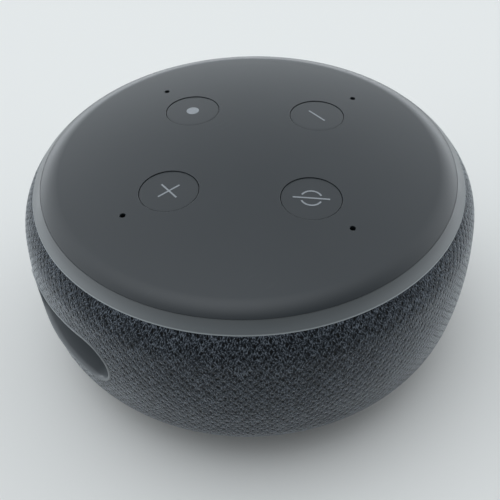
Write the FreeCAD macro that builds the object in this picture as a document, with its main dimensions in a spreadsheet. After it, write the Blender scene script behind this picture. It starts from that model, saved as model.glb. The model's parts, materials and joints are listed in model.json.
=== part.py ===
import FreeCAD, Part

import math
import os

import Sketcher

# A puck-shaped smart speaker. Millimetres, +Z up, origin at the centre of its foot.
# +Y is the back, where the two sockets are, and -Y is the front.

doc = FreeCAD.newDocument("smart_speaker")

# ---------------------------------------------------------------- driving dimensions

SIZES = {
    # side wall, a chain of tangent arcs from the foot to the shoulder
    "body_radius": 49.5,
    "waist_height": 21.0,
    "upper_side_radius": 77.0,
    "upper_side_angle": 8.6,
    "shoulder_radius": 10.4,
    "shoulder_angle": 38.0,
    "lower_side_radius": 66.5,
    "lower_side_angle": 7.5,
    "tuck_radius": 12.9,
    "tuck_angle": 76.1,
    "fabric_thickness": 0.9,
    "housing_thickness": 1.8,
    # top cover and light ring
    "top_height": 43.0,
    "crown_radius": 560.0,
    "crown_angle": 4.2,
    "edge_radius": 4.0,
    "edge_angle": 50.0,
    "cover_underside": 40.4,
    "cap_rounding": 0.25,
    "skirt_bottom": 37.6,
    "skirt_thickness": 1.6,
    "ring_gap": 0.15,
    "ring_top": 39.95,
    "ring_leg_radius": 41.9,
    "ring_leg_height": 0.95,
    # buttons and microphones
    "button_circle": 20.0,
    "button_hole_radius": 6.2,
    "button_gap": 0.25,
    "button_sink": 0.06,
    "flange_radius": 7.4,
    "flange_bottom": 39.3,
    "flange_height": 1.0,
    "stem_radius": 1.6,
    "plunger_radius": 1.0,
    "plunger_bottom": 37.3,
    "plunger_top": 38.6,
    "switch_width": 6.0,
    "switch_height": 1.4,
    "switch_floor": 0.3,
    "mic_circle": 31.1,
    "mic_hole_radius": 0.6,
    "mic_length": 3.6,
    "mic_width": 2.8,
    "mic_height": 1.0,
    "gasket_radius": 2.0,
    # top board and its frame
    "board_thickness": 1.0,
    "mic_board_radius": 41.4,
    "mic_board_height": 35.6,
    "frame_radius": 44.0,
    "frame_height": 34.2,
    "frame_window_radius": 7.5,
    "frame_hub_opening": 6.0,
    "ledge_outer": 46.5,
    "ledge_thickness": 1.4,
    "ribbon_notch_width": 16.0,
    "ribbon_notch_depth": 10.5,
    "ribbon_notch_place": 35.75,
    "cover_screw_circle": 33.0,
    "cover_boss_radius": 2.4,
    "led_width": 2.0,
    "led_depth": 1.8,
    "led_height": 0.8,
    "chip_height": 0.9,
    "chip_width": 5.0,
    "chip_place": 6.0,
    "screw_head_radius": 2.0,
    "screw_head_height": 1.2,
    # rear port
    "port_height": 22.6,
    "port_radius": 5.45,
    "port_half_length": 9.8,
    "port_lip": 0.6,
    "port_proud": 0.15,
    "port_floor": 42.5,
    "port_back": 40.9,
    "jack_low": 18.9,
    "jack_width": 9.6,
    "jack_offset": 8.0,
    "dc_bore_radius": 2.1,
    "dc_nose_radius": 3.3,
    "dc_pin_radius": 0.8,
    "dc_pin_length": 8.0,
    "aux_bore_radius": 1.8,
    "aux_bore_depth": 13.0,
    "aux_nose_radius": 2.9,
    "nose_gap": 0.1,
    "nose_face": 42.3,
    # main board stack
    "main_board_radius": 40.0,
    "main_board_height": 26.9,
    "main_board_thickness": 1.2,
    "can_height": 2.5,
    "board_chip_height": 1.1,
    "inductor_width": 4.5,
    "inductor_height": 2.8,
    "thermal_pad_width": 15.0,
    "can_thickness": 0.3,
    "pad_thickness": 0.6,
    "spreader_radius": 34.0,
    "spreader_thickness": 1.2,
    "post_across": 20.0,
    "post_along": 17.0,
    "post_radius": 2.5,
    "main_screw_radius": 1.0,
    "screw_play": 0.2,
    "antenna_place": 36.3,
    "antenna_length": 12.0,
    "antenna_thickness": 0.6,
    "antenna_height": 4.9,
    "antenna_foot_place": 37.0,
    "antenna_foot_width": 2.0,
    # speaker chamber
    "baffle_height": 11.7,
    "baffle_thickness": 2.0,
    "baffle_radius": 45.6,
    "baffle_opening": 19.9,
    "baffle_post_drop": 3.0,
    "chamber_radius": 35.0,
    "chamber_flat": 27.5,
    "chamber_wall": 1.5,
    "chamber_top": 26.0,
    "ceiling_thickness": 1.4,
    "board_post_low": 22.0,
    "gasket_thickness": 0.5,
    "lug_circle": 37.5,
    "lug_radius": 3.5,
    "lug_height": 2.2,
    # driver
    "flange_outer": 24.5,
    "driver_screw_circle": 22.9,
    "driver_screw_radius": 0.8,
    "driver_screw_hole": 0.9,
    "driver_gasket_inner": 20.2,
    "basket_window_width": 7.0,
    "basket_window_height": 2.6,
    "basket_window_level": 14.6,
    "yoke_radius": 13.4,
    "yoke_bore": 9.3,
    "yoke_bottom": 17.0,
    "yoke_top": 24.2,
    "yoke_floor": 1.6,
    "magnet_radius": 8.0,
    "pole_radius": 8.05,
    "pole_bottom": 17.2,
    "pole_top": 19.0,
    "coil_inner": 8.35,
    "coil_former": 8.5,
    "coil_outer": 8.9,
    "cone_radius": 16.6,
    "roll_radius": 1.7,
    "roll_thickness": 0.4,
    # base
    "base_radius": 37.2,
    "base_bottom": 1.2,
    "base_thickness": 2.0,
    "base_sink_radius": 2.6,
    "base_sink_depth": 0.8,
    "diffuser_radius": 24.0,
    "diffuser_top": 8.6,
    "diffuser_curve": 30.0,
    "land_radius": 22.8,
    "land_bottom": 0.6,
    "label_radius": 20.0,
    "label_recess": 0.2,
    "pad_inner": 23.2,
    "pad_outer": 37.0,
    "pillar_circle": 33.0,
    "pillar_radius": 3.0,
    "base_screw_radius": 1.25,
    "base_screw_head": 2.4,
    "slot_width": 2.0,
    "slot_height": 5.0,
    "slot_level": 7.5,
    "slot_inner": 37.9,
}

BUTTON_NAMES = ("action", "volume_up", "mic_mute", "volume_down")
SLOT_COUNT = 36
LED_COUNT = 12
WINDOW_COUNT = 6
TINY = 1e-9
LEAST_CUT = 1e-4  # cubic millimetres
FAR = 60          # beyond every piece
OVERLAP = 0.2     # how far two features of one piece run into each other


def as_size(number):
    """A plain number as a Size, and a Size unchanged."""
    if isinstance(number, Size):
        return number
    return Size(number, repr(number))


class Size:
    """A number together with the expression that ties it to the sheet."""

    def __init__(self, value, text):
        self.value = value
        self.text = text

    def __add__(self, other):
        other = as_size(other)
        return Size(self.value + other.value, f"({self.text} + {other.text})")

    def __sub__(self, other):
        other = as_size(other)
        return Size(self.value - other.value, f"({self.text} - {other.text})")

    def __rsub__(self, other):
        return as_size(other) - self

    def __mul__(self, other):
        other = as_size(other)
        return Size(self.value * other.value, f"({self.text} * {other.text})")

    def __truediv__(self, other):
        other = as_size(other)
        return Size(self.value / other.value, f"({self.text} / {other.text})")

    def __neg__(self):
        return Size(-self.value, f"(0 - {self.text})")

    __radd__ = __add__
    __rmul__ = __mul__


def root(size):
    return Size(math.sqrt(size.value), f"sqrt({size.text})")


def sine(angle):
    angle = as_size(angle)
    return Size(math.sin(math.radians(angle.value)), f"sin({angle.text})")


def cosine(angle):
    angle = as_size(angle)
    return Size(math.cos(math.radians(angle.value)), f"cos({angle.text})")


class Sheet:
    """The document's spreadsheet: each driving dimension is read from it by name."""

    def __init__(self, sizes):
        cells = doc.addObject("Spreadsheet::Sheet", "Sizes")
        for row, (alias, value) in enumerate(sizes.items(), start=1):
            cells.set(f"A{row}", alias.replace("_", " "))
            cells.set(f"B{row}", str(value))
            cells.setAlias(f"B{row}", alias)
            setattr(self, alias, Size(value, f"Sizes.{alias}"))


dim = Sheet(SIZES)
doc.recompute()

# ---------------------------------------------------------------- sketch outlines

ORIGIN = -1
H_AXIS = -1
V_AXIS = -2


def drive(sketch, kind, references, size):
    """Add a constraint whose value follows the sheet."""
    index = sketch.addConstraint(Sketcher.Constraint(kind, *references, size.value))
    sketch.setExpression(f"Constraints[{index}]", size.text)


def fix_point(sketch, geometry, point, x, y):
    """Tie one point of a sketch to its place from the sketch's origin."""
    for kind, axis, place in (("DistanceX", V_AXIS, x), ("DistanceY", H_AXIS, y)):
        place = as_size(place)
        if abs(place.value) < TINY:
            sketch.addConstraint(Sketcher.Constraint("PointOnObject", geometry, point, axis))
        elif place.value > 0:
            drive(sketch, kind, (ORIGIN, 1, geometry, point), place)
        else:
            drive(sketch, kind, (geometry, point, ORIGIN, 1), -place)


def disc(x, y, radius):
    """A circle."""
    def draw(sketch):
        centre = FreeCAD.Vector(as_size(x).value, as_size(y).value, 0)
        circle = Part.Circle(centre, FreeCAD.Vector(0, 0, 1), as_size(radius).value)
        geometry = sketch.addGeometry(circle, False)
        fix_point(sketch, geometry, 3, x, y)
        drive(sketch, "Radius", (geometry,), as_size(radius))
    return draw


def arc_between(start, end, radius):
    """The arc of under half a turn between two points, counter-clockwise for a positive radius."""
    chord = end - start
    half = chord.Length / 2
    side = math.copysign(math.sqrt(max(radius * radius - half * half, 0)), radius)
    normal = FreeCAD.Vector(-chord.y, chord.x, 0).normalize()
    centre = (start + end) * 0.5 + normal * side
    first, last = (start, end) if radius > 0 else (end, start)
    angles = [math.atan2(p.y - centre.y, p.x - centre.x) for p in (first, last)]
    circle = Part.Circle(centre, FreeCAD.Vector(0, 0, 1), abs(radius))
    return Part.ArcOfCircle(circle, angles[0], angles[1])


def outline(corners):
    """A closed chain of edges. A corner is (x, y), or (x, y, radius) where the edge that
    leaves it is an arc, counter-clockwise for a positive radius."""
    def draw(sketch):
        points = [FreeCAD.Vector(as_size(c[0]).value, as_size(c[1]).value, 0) for c in corners]
        starts, ends = [], []
        for index, corner in enumerate(corners):
            start, end = points[index], points[(index + 1) % len(points)]
            if len(corner) == 2:
                geometry = sketch.addGeometry(Part.LineSegment(start, end), False)
                order = (1, 2)
            else:
                radius = as_size(corner[2])
                geometry = sketch.addGeometry(arc_between(start, end, radius.value), False)
                drive(sketch, "Radius", (geometry,), radius if radius.value > 0 else -radius)
                order = (1, 2) if radius.value > 0 else (2, 1)
            starts.append((geometry, order[0]))
            ends.append((geometry, order[1]))
        for index, corner in enumerate(corners):
            sketch.addConstraint(Sketcher.Constraint("Coincident", *ends[index - 1], *starts[index]))
            fix_point(sketch, *starts[index], corner[0], corner[1])
    return draw


def rectangle(x, y, width, depth):
    """A rectangle about its centre."""
    left, right = as_size(x) - as_size(width) / 2, as_size(x) + as_size(width) / 2
    low, high = as_size(y) - as_size(depth) / 2, as_size(y) + as_size(depth) / 2
    return outline([(left, low), (right, low), (right, high), (left, high)])


def slot(y, half_length, radius):
    """A level slot with round ends, centred across the sketch."""
    def draw(sketch):
        arcs = []
        for side in (1, -1):
            centre = FreeCAD.Vector(side * half_length.value, y.value, 0)
            circle = Part.Circle(centre, FreeCAD.Vector(0, 0, 1), radius.value)
            start = -side * math.pi / 2
            geometry = sketch.addGeometry(Part.ArcOfCircle(circle, start, start + math.pi), False)
            fix_point(sketch, geometry, 3, side * half_length, y)
            drive(sketch, "Radius", (geometry,), radius)
            arcs.append((geometry, centre))
        for (first, near), (second, far) in (arcs, arcs[::-1]):
            rise = FreeCAD.Vector(0, math.copysign(radius.value, near.x), 0)
            line = sketch.addGeometry(Part.LineSegment(near + rise, far + rise), False)
            sketch.addConstraint(Sketcher.Constraint("Tangent", first, 2, line, 1))
            sketch.addConstraint(Sketcher.Constraint("Tangent", line, 2, second, 1))
    return draw


def around(count, radius, start=0):
    """Places spread evenly round a circle."""
    angles = [start + 360 * index / count for index in range(count)]
    return [(radius * cosine(angle), radius * sine(angle)) for angle in angles]


def backwards(corners):
    """The same chain of edges, walked the other way."""
    radii = [None] + [-corner[2] for corner in corners[:-1]]
    pairs = zip(reversed(corners), reversed(radii))
    return [(corner[0], corner[1]) if radius is None else (corner[0], corner[1], radius)
            for corner, radius in pairs]


# ---------------------------------------------------------------- one piece of the speaker


class Piece:
    """One piece, built up as a PartDesign body under the name it is known by."""

    pieces = []

    def __init__(self, label):
        self.body = doc.addObject("PartDesign::Body", "Body")
        self.body.Label = label
        self.label = label
        self.steps = 0
        Piece.pieces.append(self)

    def sketch(self, plane, level, shapes):
        """Shapes drawn on one of the body's own planes, at a level along Z (XY) or Y (XZ)."""
        self.steps += 1
        sketch = self.body.newObject("Sketcher::SketchObject", f"{self.label}_sketch_{self.steps}")
        role = f"{plane}_Plane"
        support = next(f for f in self.body.Origin.OriginFeatures if f.Role == role)
        sketch.AttachmentSupport = [(support, "")]
        sketch.MapMode = "FlatFace"
        level = as_size(level)
        if plane == "XZ":
            level = -level
        sketch.setExpression("AttachmentOffset.Base.z", level.text)
        for draw in shapes:
            draw(sketch)
        return sketch

    def feature(self, kind, sketch, removes):
        """A feature made from a sketch; one that removes material has to make the body smaller."""
        before = self.body.Shape.Volume if removes else 0
        feature = self.body.newObject(f"PartDesign::{kind}", f"{self.label}_{kind}_{self.steps}")
        feature.Profile = sketch
        return feature, before

    def settle(self, feature, before):
        """Recompute, and stop if a feature that should remove material did not."""
        doc.recompute()
        if before and self.body.Shape.Volume > before - LEAST_CUT:
            raise RuntimeError(f"{feature.Name} removed nothing")
        return feature

    def turn(self, corners, removes=False):
        """Turn an outline, drawn as (radius, height), right round the vertical axis."""
        sketch = self.sketch("XZ", 0, [outline(corners)])
        kind = "Groove" if removes else "Revolution"
        feature, before = self.feature(kind, sketch, removes)
        feature.ReferenceAxis = (sketch, ["V_Axis"])
        feature.Angle = 360
        return self.settle(feature, before)

    def raise_up(self, start, end, shapes, plane="XY"):
        """Add material between two levels."""
        sketch = self.sketch(plane, start, shapes)
        feature, before = self.feature("Pad", sketch, False)
        feature.setExpression("Length", (as_size(end) - start).text)
        feature.Reversed = plane == "XZ"
        return self.settle(feature, before)

    def cut(self, start, end, shapes, plane="XY"):
        """Take material away between two levels."""
        sketch = self.sketch(plane, start, shapes)
        feature, before = self.feature("Pocket", sketch, True)
        feature.setExpression("Length", (as_size(end) - start).text)
        feature.Reversed = plane == "XY"
        return self.settle(feature, before)

    def repeat(self, feature, count):
        """Repeat one feature evenly round the vertical axis."""
        pattern = self.body.newObject("PartDesign::PolarPattern", f"{self.label}_pattern")
        pattern.Originals = [feature]
        axis = next(f for f in self.body.Origin.OriginFeatures if f.Role == "Z_Axis")
        pattern.Axis = (axis, [""])
        pattern.Angle = 360
        pattern.Occurrences = count
        self.body.Tip = pattern
        return self.settle(pattern, 0)

    def round_edges(self, radius, chosen):
        """Round the edges that the test picks."""
        base = self.body.Tip
        names = [f"Edge{n}" for n, edge in enumerate(base.Shape.Edges, start=1) if chosen(edge)]
        fillet = self.body.newObject("PartDesign::Fillet", f"{self.label}_fillet")
        fillet.Base = (base, names)
        fillet.Radius = radius
        return self.settle(fillet, 0)


# ---------------------------------------------------------------- shared shapes

def wall_profile(depth):
    """The side wall's section at a depth under the fabric's face, from foot to shoulder."""
    depth = as_size(depth)
    upper_turn = dim.upper_side_angle + dim.shoulder_angle
    lower_turn = dim.lower_side_angle + dim.tuck_angle
    upper_centre = dim.body_radius - dim.upper_side_radius
    lower_centre = dim.body_radius - dim.lower_side_radius
    shoulder_reach = dim.upper_side_radius - dim.shoulder_radius
    tuck_reach = dim.lower_side_radius - dim.tuck_radius
    shoulder_x = upper_centre + shoulder_reach * cosine(dim.upper_side_angle)
    shoulder_z = dim.waist_height + shoulder_reach * sine(dim.upper_side_angle)
    tuck_x = lower_centre + tuck_reach * cosine(dim.lower_side_angle)
    tuck_z = dim.waist_height - tuck_reach * sine(dim.lower_side_angle)
    upper, shoulder = dim.upper_side_radius - depth, dim.shoulder_radius - depth
    lower, tuck = dim.lower_side_radius - depth, dim.tuck_radius - depth
    return [
        (tuck_x + tuck * cosine(lower_turn), tuck_z - tuck * sine(lower_turn), tuck),
        (lower_centre + lower * cosine(dim.lower_side_angle),
         dim.waist_height - lower * sine(dim.lower_side_angle), lower),
        (dim.body_radius - depth, dim.waist_height, upper),
        (upper_centre + upper * cosine(dim.upper_side_angle),
         dim.waist_height + upper * sine(dim.upper_side_angle), shoulder),
        (shoulder_x + shoulder * cosine(upper_turn), shoulder_z + shoulder * sine(upper_turn)),
    ]


def wall_shell(outer_depth, inner_depth):
    """The closed section of a shell between two depths of the side wall."""
    return wall_profile(outer_depth) + backwards(wall_profile(inner_depth))


def chamber_outline(inset):
    """A round outline with one flat at the back, set in from the speaker chamber's outside."""
    radius = dim.chamber_radius - inset
    flat = dim.chamber_flat - inset
    corner = root(radius * radius - flat * flat)
    return outline([(-corner, flat, radius), (-radius, 0, radius), (0, -radius, radius),
                    (radius, 0, radius), (corner, flat)])


def screws(label, places, head, shank):
    """A set of screws: head and shank are (radius, start, end), with a round socket in the head."""
    socket_depth, socket_share = 0.5, 0.45
    piece = Piece(label)
    head_radius, head_start, head_end = head
    shank_radius, shank_start, shank_end = shank
    piece.raise_up(head_start, head_end, [disc(x, y, head_radius) for x, y in places])
    piece.raise_up(shank_start, shank_end, [disc(x, y, shank_radius) for x, y in places])
    upward = as_size(head_start).value >= as_size(shank_end).value - TINY
    socket = as_size(head_end) - socket_depth if upward else as_size(head_start)
    piece.cut(socket, socket + socket_depth, [disc(x, y, head_radius * socket_share) for x, y in places])
    return piece


# ---------------------------------------------------------------- levels and places

crown_centre = dim.top_height - dim.crown_radius
crown_end = (dim.crown_radius * sine(dim.crown_angle),
             crown_centre + dim.crown_radius * cosine(dim.crown_angle))
rim_radius = crown_end[0] + dim.edge_radius * (sine(dim.edge_angle) - sine(dim.crown_angle))
rim_height = crown_end[1] + dim.edge_radius * (cosine(dim.edge_angle) - cosine(dim.crown_angle))
cap_radius = dim.button_hole_radius - dim.button_gap
ring_inner = rim_radius + dim.ring_gap
housing_depth = dim.fabric_thickness + dim.housing_thickness
mic_board_top = dim.mic_board_height + dim.board_thickness
mic_top = mic_board_top + dim.mic_height
main_board_top = dim.main_board_height + dim.main_board_thickness
can_top = main_board_top + dim.can_height
spreader_bottom = can_top + dim.pad_thickness
spreader_top = spreader_bottom + dim.spreader_thickness
baffle_top = dim.baffle_height + dim.baffle_thickness
chamber_bottom = baffle_top + dim.gasket_thickness
chamber_ceiling = dim.chamber_top - dim.ceiling_thickness
base_top = dim.base_bottom + dim.base_thickness
port_outer = dim.port_radius + dim.port_lip

button_places = around(4, dim.button_circle)
mic_places = around(4, dim.mic_circle)
cover_screw_places = around(4, dim.cover_screw_circle, 45)
lug_places = around(4, dim.lug_circle, 45)
driver_screw_places = around(4, dim.driver_screw_circle, 45)
pillar_places = around(4, dim.pillar_circle)
main_screw_places = [(side * dim.post_across, end * dim.post_along)
                     for side in (1, -1) for end in (1, -1)]


def discs(places, radius):
    return [disc(x, y, radius) for x, y in places]


# ---------------------------------------------------------------- top cover, ring and buttons

def make_top_cover():
    cover = Piece("top_cover")
    skirt_inner = rim_radius - dim.skirt_thickness
    cover.turn([
        (0, dim.cover_underside),
        (skirt_inner - 1, dim.cover_underside),
        (skirt_inner, dim.cover_underside - 1),
        (skirt_inner, dim.skirt_bottom),
        (rim_radius, dim.skirt_bottom),
        (rim_radius, rim_height, dim.edge_radius),
        (crown_end[0], crown_end[1], dim.crown_radius),
        (0, dim.top_height),
    ])
    cover.raise_up(mic_board_top, dim.cover_underside + OVERLAP,
                   discs(cover_screw_places, dim.cover_boss_radius))
    cover.cut(mic_board_top, dim.cover_underside - 0.4, discs(cover_screw_places, dim.main_screw_radius))
    cover.cut(dim.cover_underside - 1, dim.top_height + 1, discs(button_places, dim.button_hole_radius))
    cover.cut(dim.cover_underside - 1, dim.top_height + 1, discs(mic_places, dim.mic_hole_radius))


def make_light_ring():
    outer, seat = wall_profile(0)[-1], wall_profile(housing_depth)[-1]
    leg_top = seat[1] + dim.ring_leg_height
    Piece("light_ring").turn([
        (outer[0], outer[1]),
        (ring_inner, dim.ring_top),
        (ring_inner, leg_top),
        (dim.ring_leg_radius, leg_top),
        (dim.ring_leg_radius, seat[1]),
        (seat[0], seat[1]),
    ])


def make_button(name, place):
    """A cap that follows the cover's crown, a hidden flange that keeps it in, and its plunger."""
    button = Piece(f"{name}_button")
    flange_top = dim.flange_bottom + dim.flange_height
    button.raise_up(dim.plunger_top, dim.flange_bottom, discs([place], dim.stem_radius))
    button.raise_up(dim.flange_bottom, flange_top, discs([place], dim.flange_radius))
    button.raise_up(flange_top, dim.top_height + 1, discs([place], cap_radius))
    crown = dim.crown_radius - dim.button_sink
    reach_angle = 4
    reach = (crown * sine(reach_angle), crown_centre + crown * cosine(reach_angle))
    button.turn([(0, crown_centre + crown), (0, dim.top_height + 2),
                 (reach[0], dim.top_height + 2), (reach[0], reach[1], crown)], removes=True)
    top = button.body.Shape.BoundBox.ZMax
    rim_zone = 1.2
    button.round_edges(dim.cap_rounding.value, lambda edge: edge.BoundBox.ZMin > top - rim_zone
                       and edge.BoundBox.XLength > cap_radius.value)
    plunger = Piece(f"{name}_plunger")
    plunger.raise_up(dim.plunger_bottom, dim.plunger_top, discs([place], dim.plunger_radius))


# ---------------------------------------------------------------- top board

def make_mic_board():
    board = Piece("mic_board")
    board.raise_up(dim.mic_board_height, mic_board_top, [disc(0, 0, dim.mic_board_radius)])
    board.cut(dim.mic_board_height, mic_board_top,
              discs(cover_screw_places, dim.main_screw_radius + dim.screw_play))

    leds = Piece("ring_leds")
    led_place = dim.mic_board_radius - dim.led_depth / 2
    led = leds.raise_up(mic_board_top, mic_board_top + dim.led_height,
                        [rectangle(led_place, 0, dim.led_depth, dim.led_width)])
    leds.repeat(led, LED_COUNT)

    microphones = Piece("microphones")
    microphones.raise_up(mic_board_top, mic_top,
                         [rectangle(x, y, dim.mic_length, dim.mic_width) for x, y in mic_places])
    port_depth, port_radius = 0.4, 0.4
    microphones.cut(mic_top - port_depth, mic_top, discs(mic_places, port_radius))

    gaskets = Piece("mic_gaskets")
    gaskets.raise_up(mic_top, dim.cover_underside,
                     discs(mic_places, dim.gasket_radius) + discs(mic_places, dim.mic_hole_radius))

    switches = Piece("switch_bases")
    switches.raise_up(mic_board_top, mic_board_top + dim.switch_height,
                      [rectangle(x, y, dim.switch_width, dim.switch_width) for x, y in button_places])
    plunger_play = 0.15
    switches.cut(mic_board_top + dim.switch_floor, mic_board_top + dim.switch_height,
                 discs(button_places, dim.plunger_radius + plunger_play))

    chips = Piece("led_driver_chips")
    chips.raise_up(mic_board_top, mic_board_top + dim.chip_height,
                   [rectangle(side * dim.chip_place, 0, dim.chip_width, dim.chip_width)
                    for side in (1, -1)])

    screws("cover_screws", cover_screw_places,
           (dim.screw_head_radius, dim.frame_height - dim.screw_head_height, dim.frame_height),
           (dim.main_screw_radius, dim.frame_height, dim.cover_underside - 1))


def make_top_frame():
    frame = Piece("top_frame")
    frame.raise_up(dim.frame_height, dim.mic_board_height, [disc(0, 0, dim.frame_radius)])
    window_places = around(4, dim.button_circle, 45)
    frame.cut(dim.frame_height, dim.mic_board_height, discs(window_places, dim.frame_window_radius)
              + [disc(0, 0, dim.frame_hub_opening)]
              + discs(cover_screw_places, dim.main_screw_radius + dim.screw_play))
    frame.cut(dim.frame_height, dim.mic_board_height,
              [rectangle(0, -dim.ribbon_notch_place, dim.ribbon_notch_width, dim.ribbon_notch_depth)])


# ---------------------------------------------------------------- side housing and fabric

def port_cut(piece, radius):
    """The stadium-shaped way through the wall to the rear port."""
    piece.cut(dim.port_back - 1, FAR, [slot(dim.port_height, dim.port_half_length, radius)], plane="XZ")


def make_fabric_sleeve():
    sleeve = Piece("fabric_sleeve")
    sleeve.turn(wall_shell(0, dim.fabric_thickness))
    port_cut(sleeve, port_outer)


def make_side_housing():
    housing = Piece("side_housing")
    housing.turn(wall_shell(dim.fabric_thickness, housing_depth))
    ledge_bottom, ledge_inner = dim.frame_height - dim.ledge_thickness, dim.frame_radius - 1
    housing.turn([(ledge_inner, ledge_bottom), (dim.ledge_outer, ledge_bottom),
                  (dim.ledge_outer, dim.frame_height), (ledge_inner, dim.frame_height)])
    for x, y in pillar_places:
        housing.raise_up(base_top, dim.baffle_height, [disc(x, y, dim.pillar_radius)])
    make_pillar_webs(housing)
    for x, y in pillar_places:
        housing.cut(base_top, dim.baffle_height, [disc(x, y, dim.base_screw_radius)])
    sound_slot = housing.sketch("XZ", -FAR,
                                [rectangle(0, dim.slot_level, dim.slot_width, dim.slot_height)])
    cutter, before = housing.feature("Pocket", sound_slot, True)
    cutter.setExpression("Length", (as_size(FAR) - dim.slot_inner).text)
    first = housing.settle(cutter, before)
    housing.repeat(first, SLOT_COUNT)
    port_cut(housing, port_outer)


def make_pillar_webs(housing):
    """A web from each pillar out into the wall."""
    web_low, web_foot, web_tip, web_thickness = 4.6, 42.3, 47.3, 2
    web_top = dim.baffle_height - 0.3
    web = housing.sketch("XZ", 0, [outline([
        (dim.pillar_circle, web_low), (web_foot, web_low),
        (web_tip, web_top), (dim.pillar_circle, web_top)])])
    pad, _ = housing.feature("Pad", web, False)
    pad.Midplane = True
    pad.Length = web_thickness
    housing.repeat(housing.settle(pad, 0), len(pillar_places))


# ---------------------------------------------------------------- rear port

def make_port():
    bezel = Piece("port_bezel")
    bezel.raise_up(dim.port_back, FAR,
                   [slot(dim.port_height, dim.port_half_length, port_outer)], plane="XZ")
    face = wall_profile(-dim.port_proud)
    bezel.turn(face + [(FAR + 10, face[-1][1]), (FAR + 10, face[0][1])], removes=True)
    bezel.cut(dim.port_floor, FAR,
              [slot(dim.port_height, dim.port_half_length, dim.port_radius)], plane="XZ")
    bezel.cut(dim.port_back, dim.port_floor,
              [disc(dim.jack_offset, dim.port_height, dim.dc_nose_radius + dim.nose_gap),
               disc(-dim.jack_offset, dim.port_height, dim.aux_nose_radius + dim.nose_gap)], plane="XZ")

    pin_recess, body_behind_pin = 0.4, 3
    pin_start = dim.nose_face - pin_recess - dim.dc_pin_length
    power = Piece("dc_jack")
    power.raise_up(pin_start - body_behind_pin, dim.port_back,
                   [rectangle(dim.jack_offset, (dim.main_board_height + dim.jack_low) / 2, dim.jack_width,
                              dim.main_board_height - dim.jack_low)], plane="XZ")
    power.raise_up(dim.port_back, dim.nose_face,
                   [disc(dim.jack_offset, dim.port_height, dim.dc_nose_radius)], plane="XZ")
    power.cut(pin_start - 1, dim.nose_face,
              [disc(dim.jack_offset, dim.port_height, dim.dc_bore_radius)], plane="XZ")
    pin = Piece("dc_jack_pin")
    pin.raise_up(pin_start - 1, pin_start,
                 [disc(dim.jack_offset, dim.port_height, dim.dc_bore_radius)], plane="XZ")
    pin.raise_up(pin_start, pin_start + dim.dc_pin_length,
                 [disc(dim.jack_offset, dim.port_height, dim.dc_pin_radius)], plane="XZ")

    bore_start = dim.nose_face - dim.aux_bore_depth
    body_low, body_width, contact_width, contact_length = 19.4, 6.8, 0.5, 2.4
    audio = Piece("aux_jack")
    audio.raise_up(bore_start - 1, dim.port_back,
                   [rectangle(-dim.jack_offset, (dim.main_board_height + body_low) / 2, body_width,
                              dim.main_board_height - body_low)], plane="XZ")
    audio.raise_up(dim.port_back, dim.nose_face,
                   [disc(-dim.jack_offset, dim.port_height, dim.aux_nose_radius)], plane="XZ")
    audio.cut(bore_start, dim.nose_face,
              [disc(-dim.jack_offset, dim.port_height, dim.aux_bore_radius)], plane="XZ")
    contacts = Piece("aux_jack_contacts")
    contact_x = -dim.jack_offset - (body_width + contact_width) / 2
    contacts.raise_up(body_low + 1, dim.main_board_height,
                      [rectangle(contact_x, bore_start + along, contact_width, contact_length)
                       for along in (1, 5, 9)])


# ---------------------------------------------------------------- main board and its stack

# centre x and y, width and depth
CANS = ((-7.0, 1.0, 20.0, 22.0), (16.0, -1.0, 20.0, 22.0))
CHIPS = (
    (-8.0, 2.0, 12.0, 12.0),
    (-1.0, -6.5, 5.0, 4.0),
    (16.0, 0.0, 9.0, 9.0),
    (-10.0, -22.0, 7.0, 7.0),
    (10.0, -22.0, 5.0, 5.0),
    (-28.0, 0.0, 6.0, 8.0),
    (0.0, 22.0, 8.0, 6.0),
)
INDUCTORS = ((30.5, 4.0), (30.5, -4.0), (-29.0, 11.0))


def make_main_board():
    board = Piece("main_board")
    board.raise_up(dim.main_board_height, main_board_top, [disc(0, 0, dim.main_board_radius)])
    board.cut(dim.main_board_height, main_board_top,
              discs(main_screw_places, dim.main_screw_radius + dim.screw_play))

    cans = Piece("shield_cans")
    cans.raise_up(main_board_top, can_top, [rectangle(*can) for can in CANS])
    cans.cut(main_board_top, can_top - dim.can_thickness,
             [rectangle(x, y, width - 2 * dim.can_thickness, depth - 2 * dim.can_thickness)
              for x, y, width, depth in CANS])

    chips = Piece("board_chips")
    chips.raise_up(main_board_top, main_board_top + dim.board_chip_height,
                   [rectangle(*chip) for chip in CHIPS])

    inductors = Piece("power_inductors")
    inductors.raise_up(main_board_top, main_board_top + dim.inductor_height,
                       [rectangle(x, y, dim.inductor_width, dim.inductor_width) for x, y in INDUCTORS])

    pads = Piece("thermal_pads")
    pads.raise_up(can_top, spreader_bottom,
                  [rectangle(x, y, dim.thermal_pad_width, dim.thermal_pad_width) for x, y, _, _ in CANS])

    spreader = Piece("heat_spreader")
    spreader.raise_up(spreader_bottom, spreader_top, [disc(0, 0, dim.spreader_radius)])
    spreader.raise_up(main_board_top, spreader_bottom + OVERLAP, discs(main_screw_places, dim.post_radius))
    spreader.cut(main_board_top, spreader_top,
                 discs(main_screw_places, dim.main_screw_radius + dim.screw_play))

    bite = 3.5
    screws("main_screws", main_screw_places,
           (dim.screw_head_radius, spreader_top, spreader_top + dim.screw_head_height),
           (dim.main_screw_radius, dim.main_board_height - bite, spreader_top))

    antennas = Piece("wifi_antennas")
    antennas.raise_up(main_board_top, main_board_top + dim.antenna_height,
                      [rectangle(side * dim.antenna_place, 0, dim.antenna_thickness, dim.antenna_length)
                       for side in (1, -1)])
    antennas.raise_up(main_board_top, main_board_top + dim.antenna_thickness,
                      [rectangle(side * dim.antenna_foot_place, 0, dim.antenna_foot_width,
                                 dim.antenna_length) for side in (1, -1)])


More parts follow.
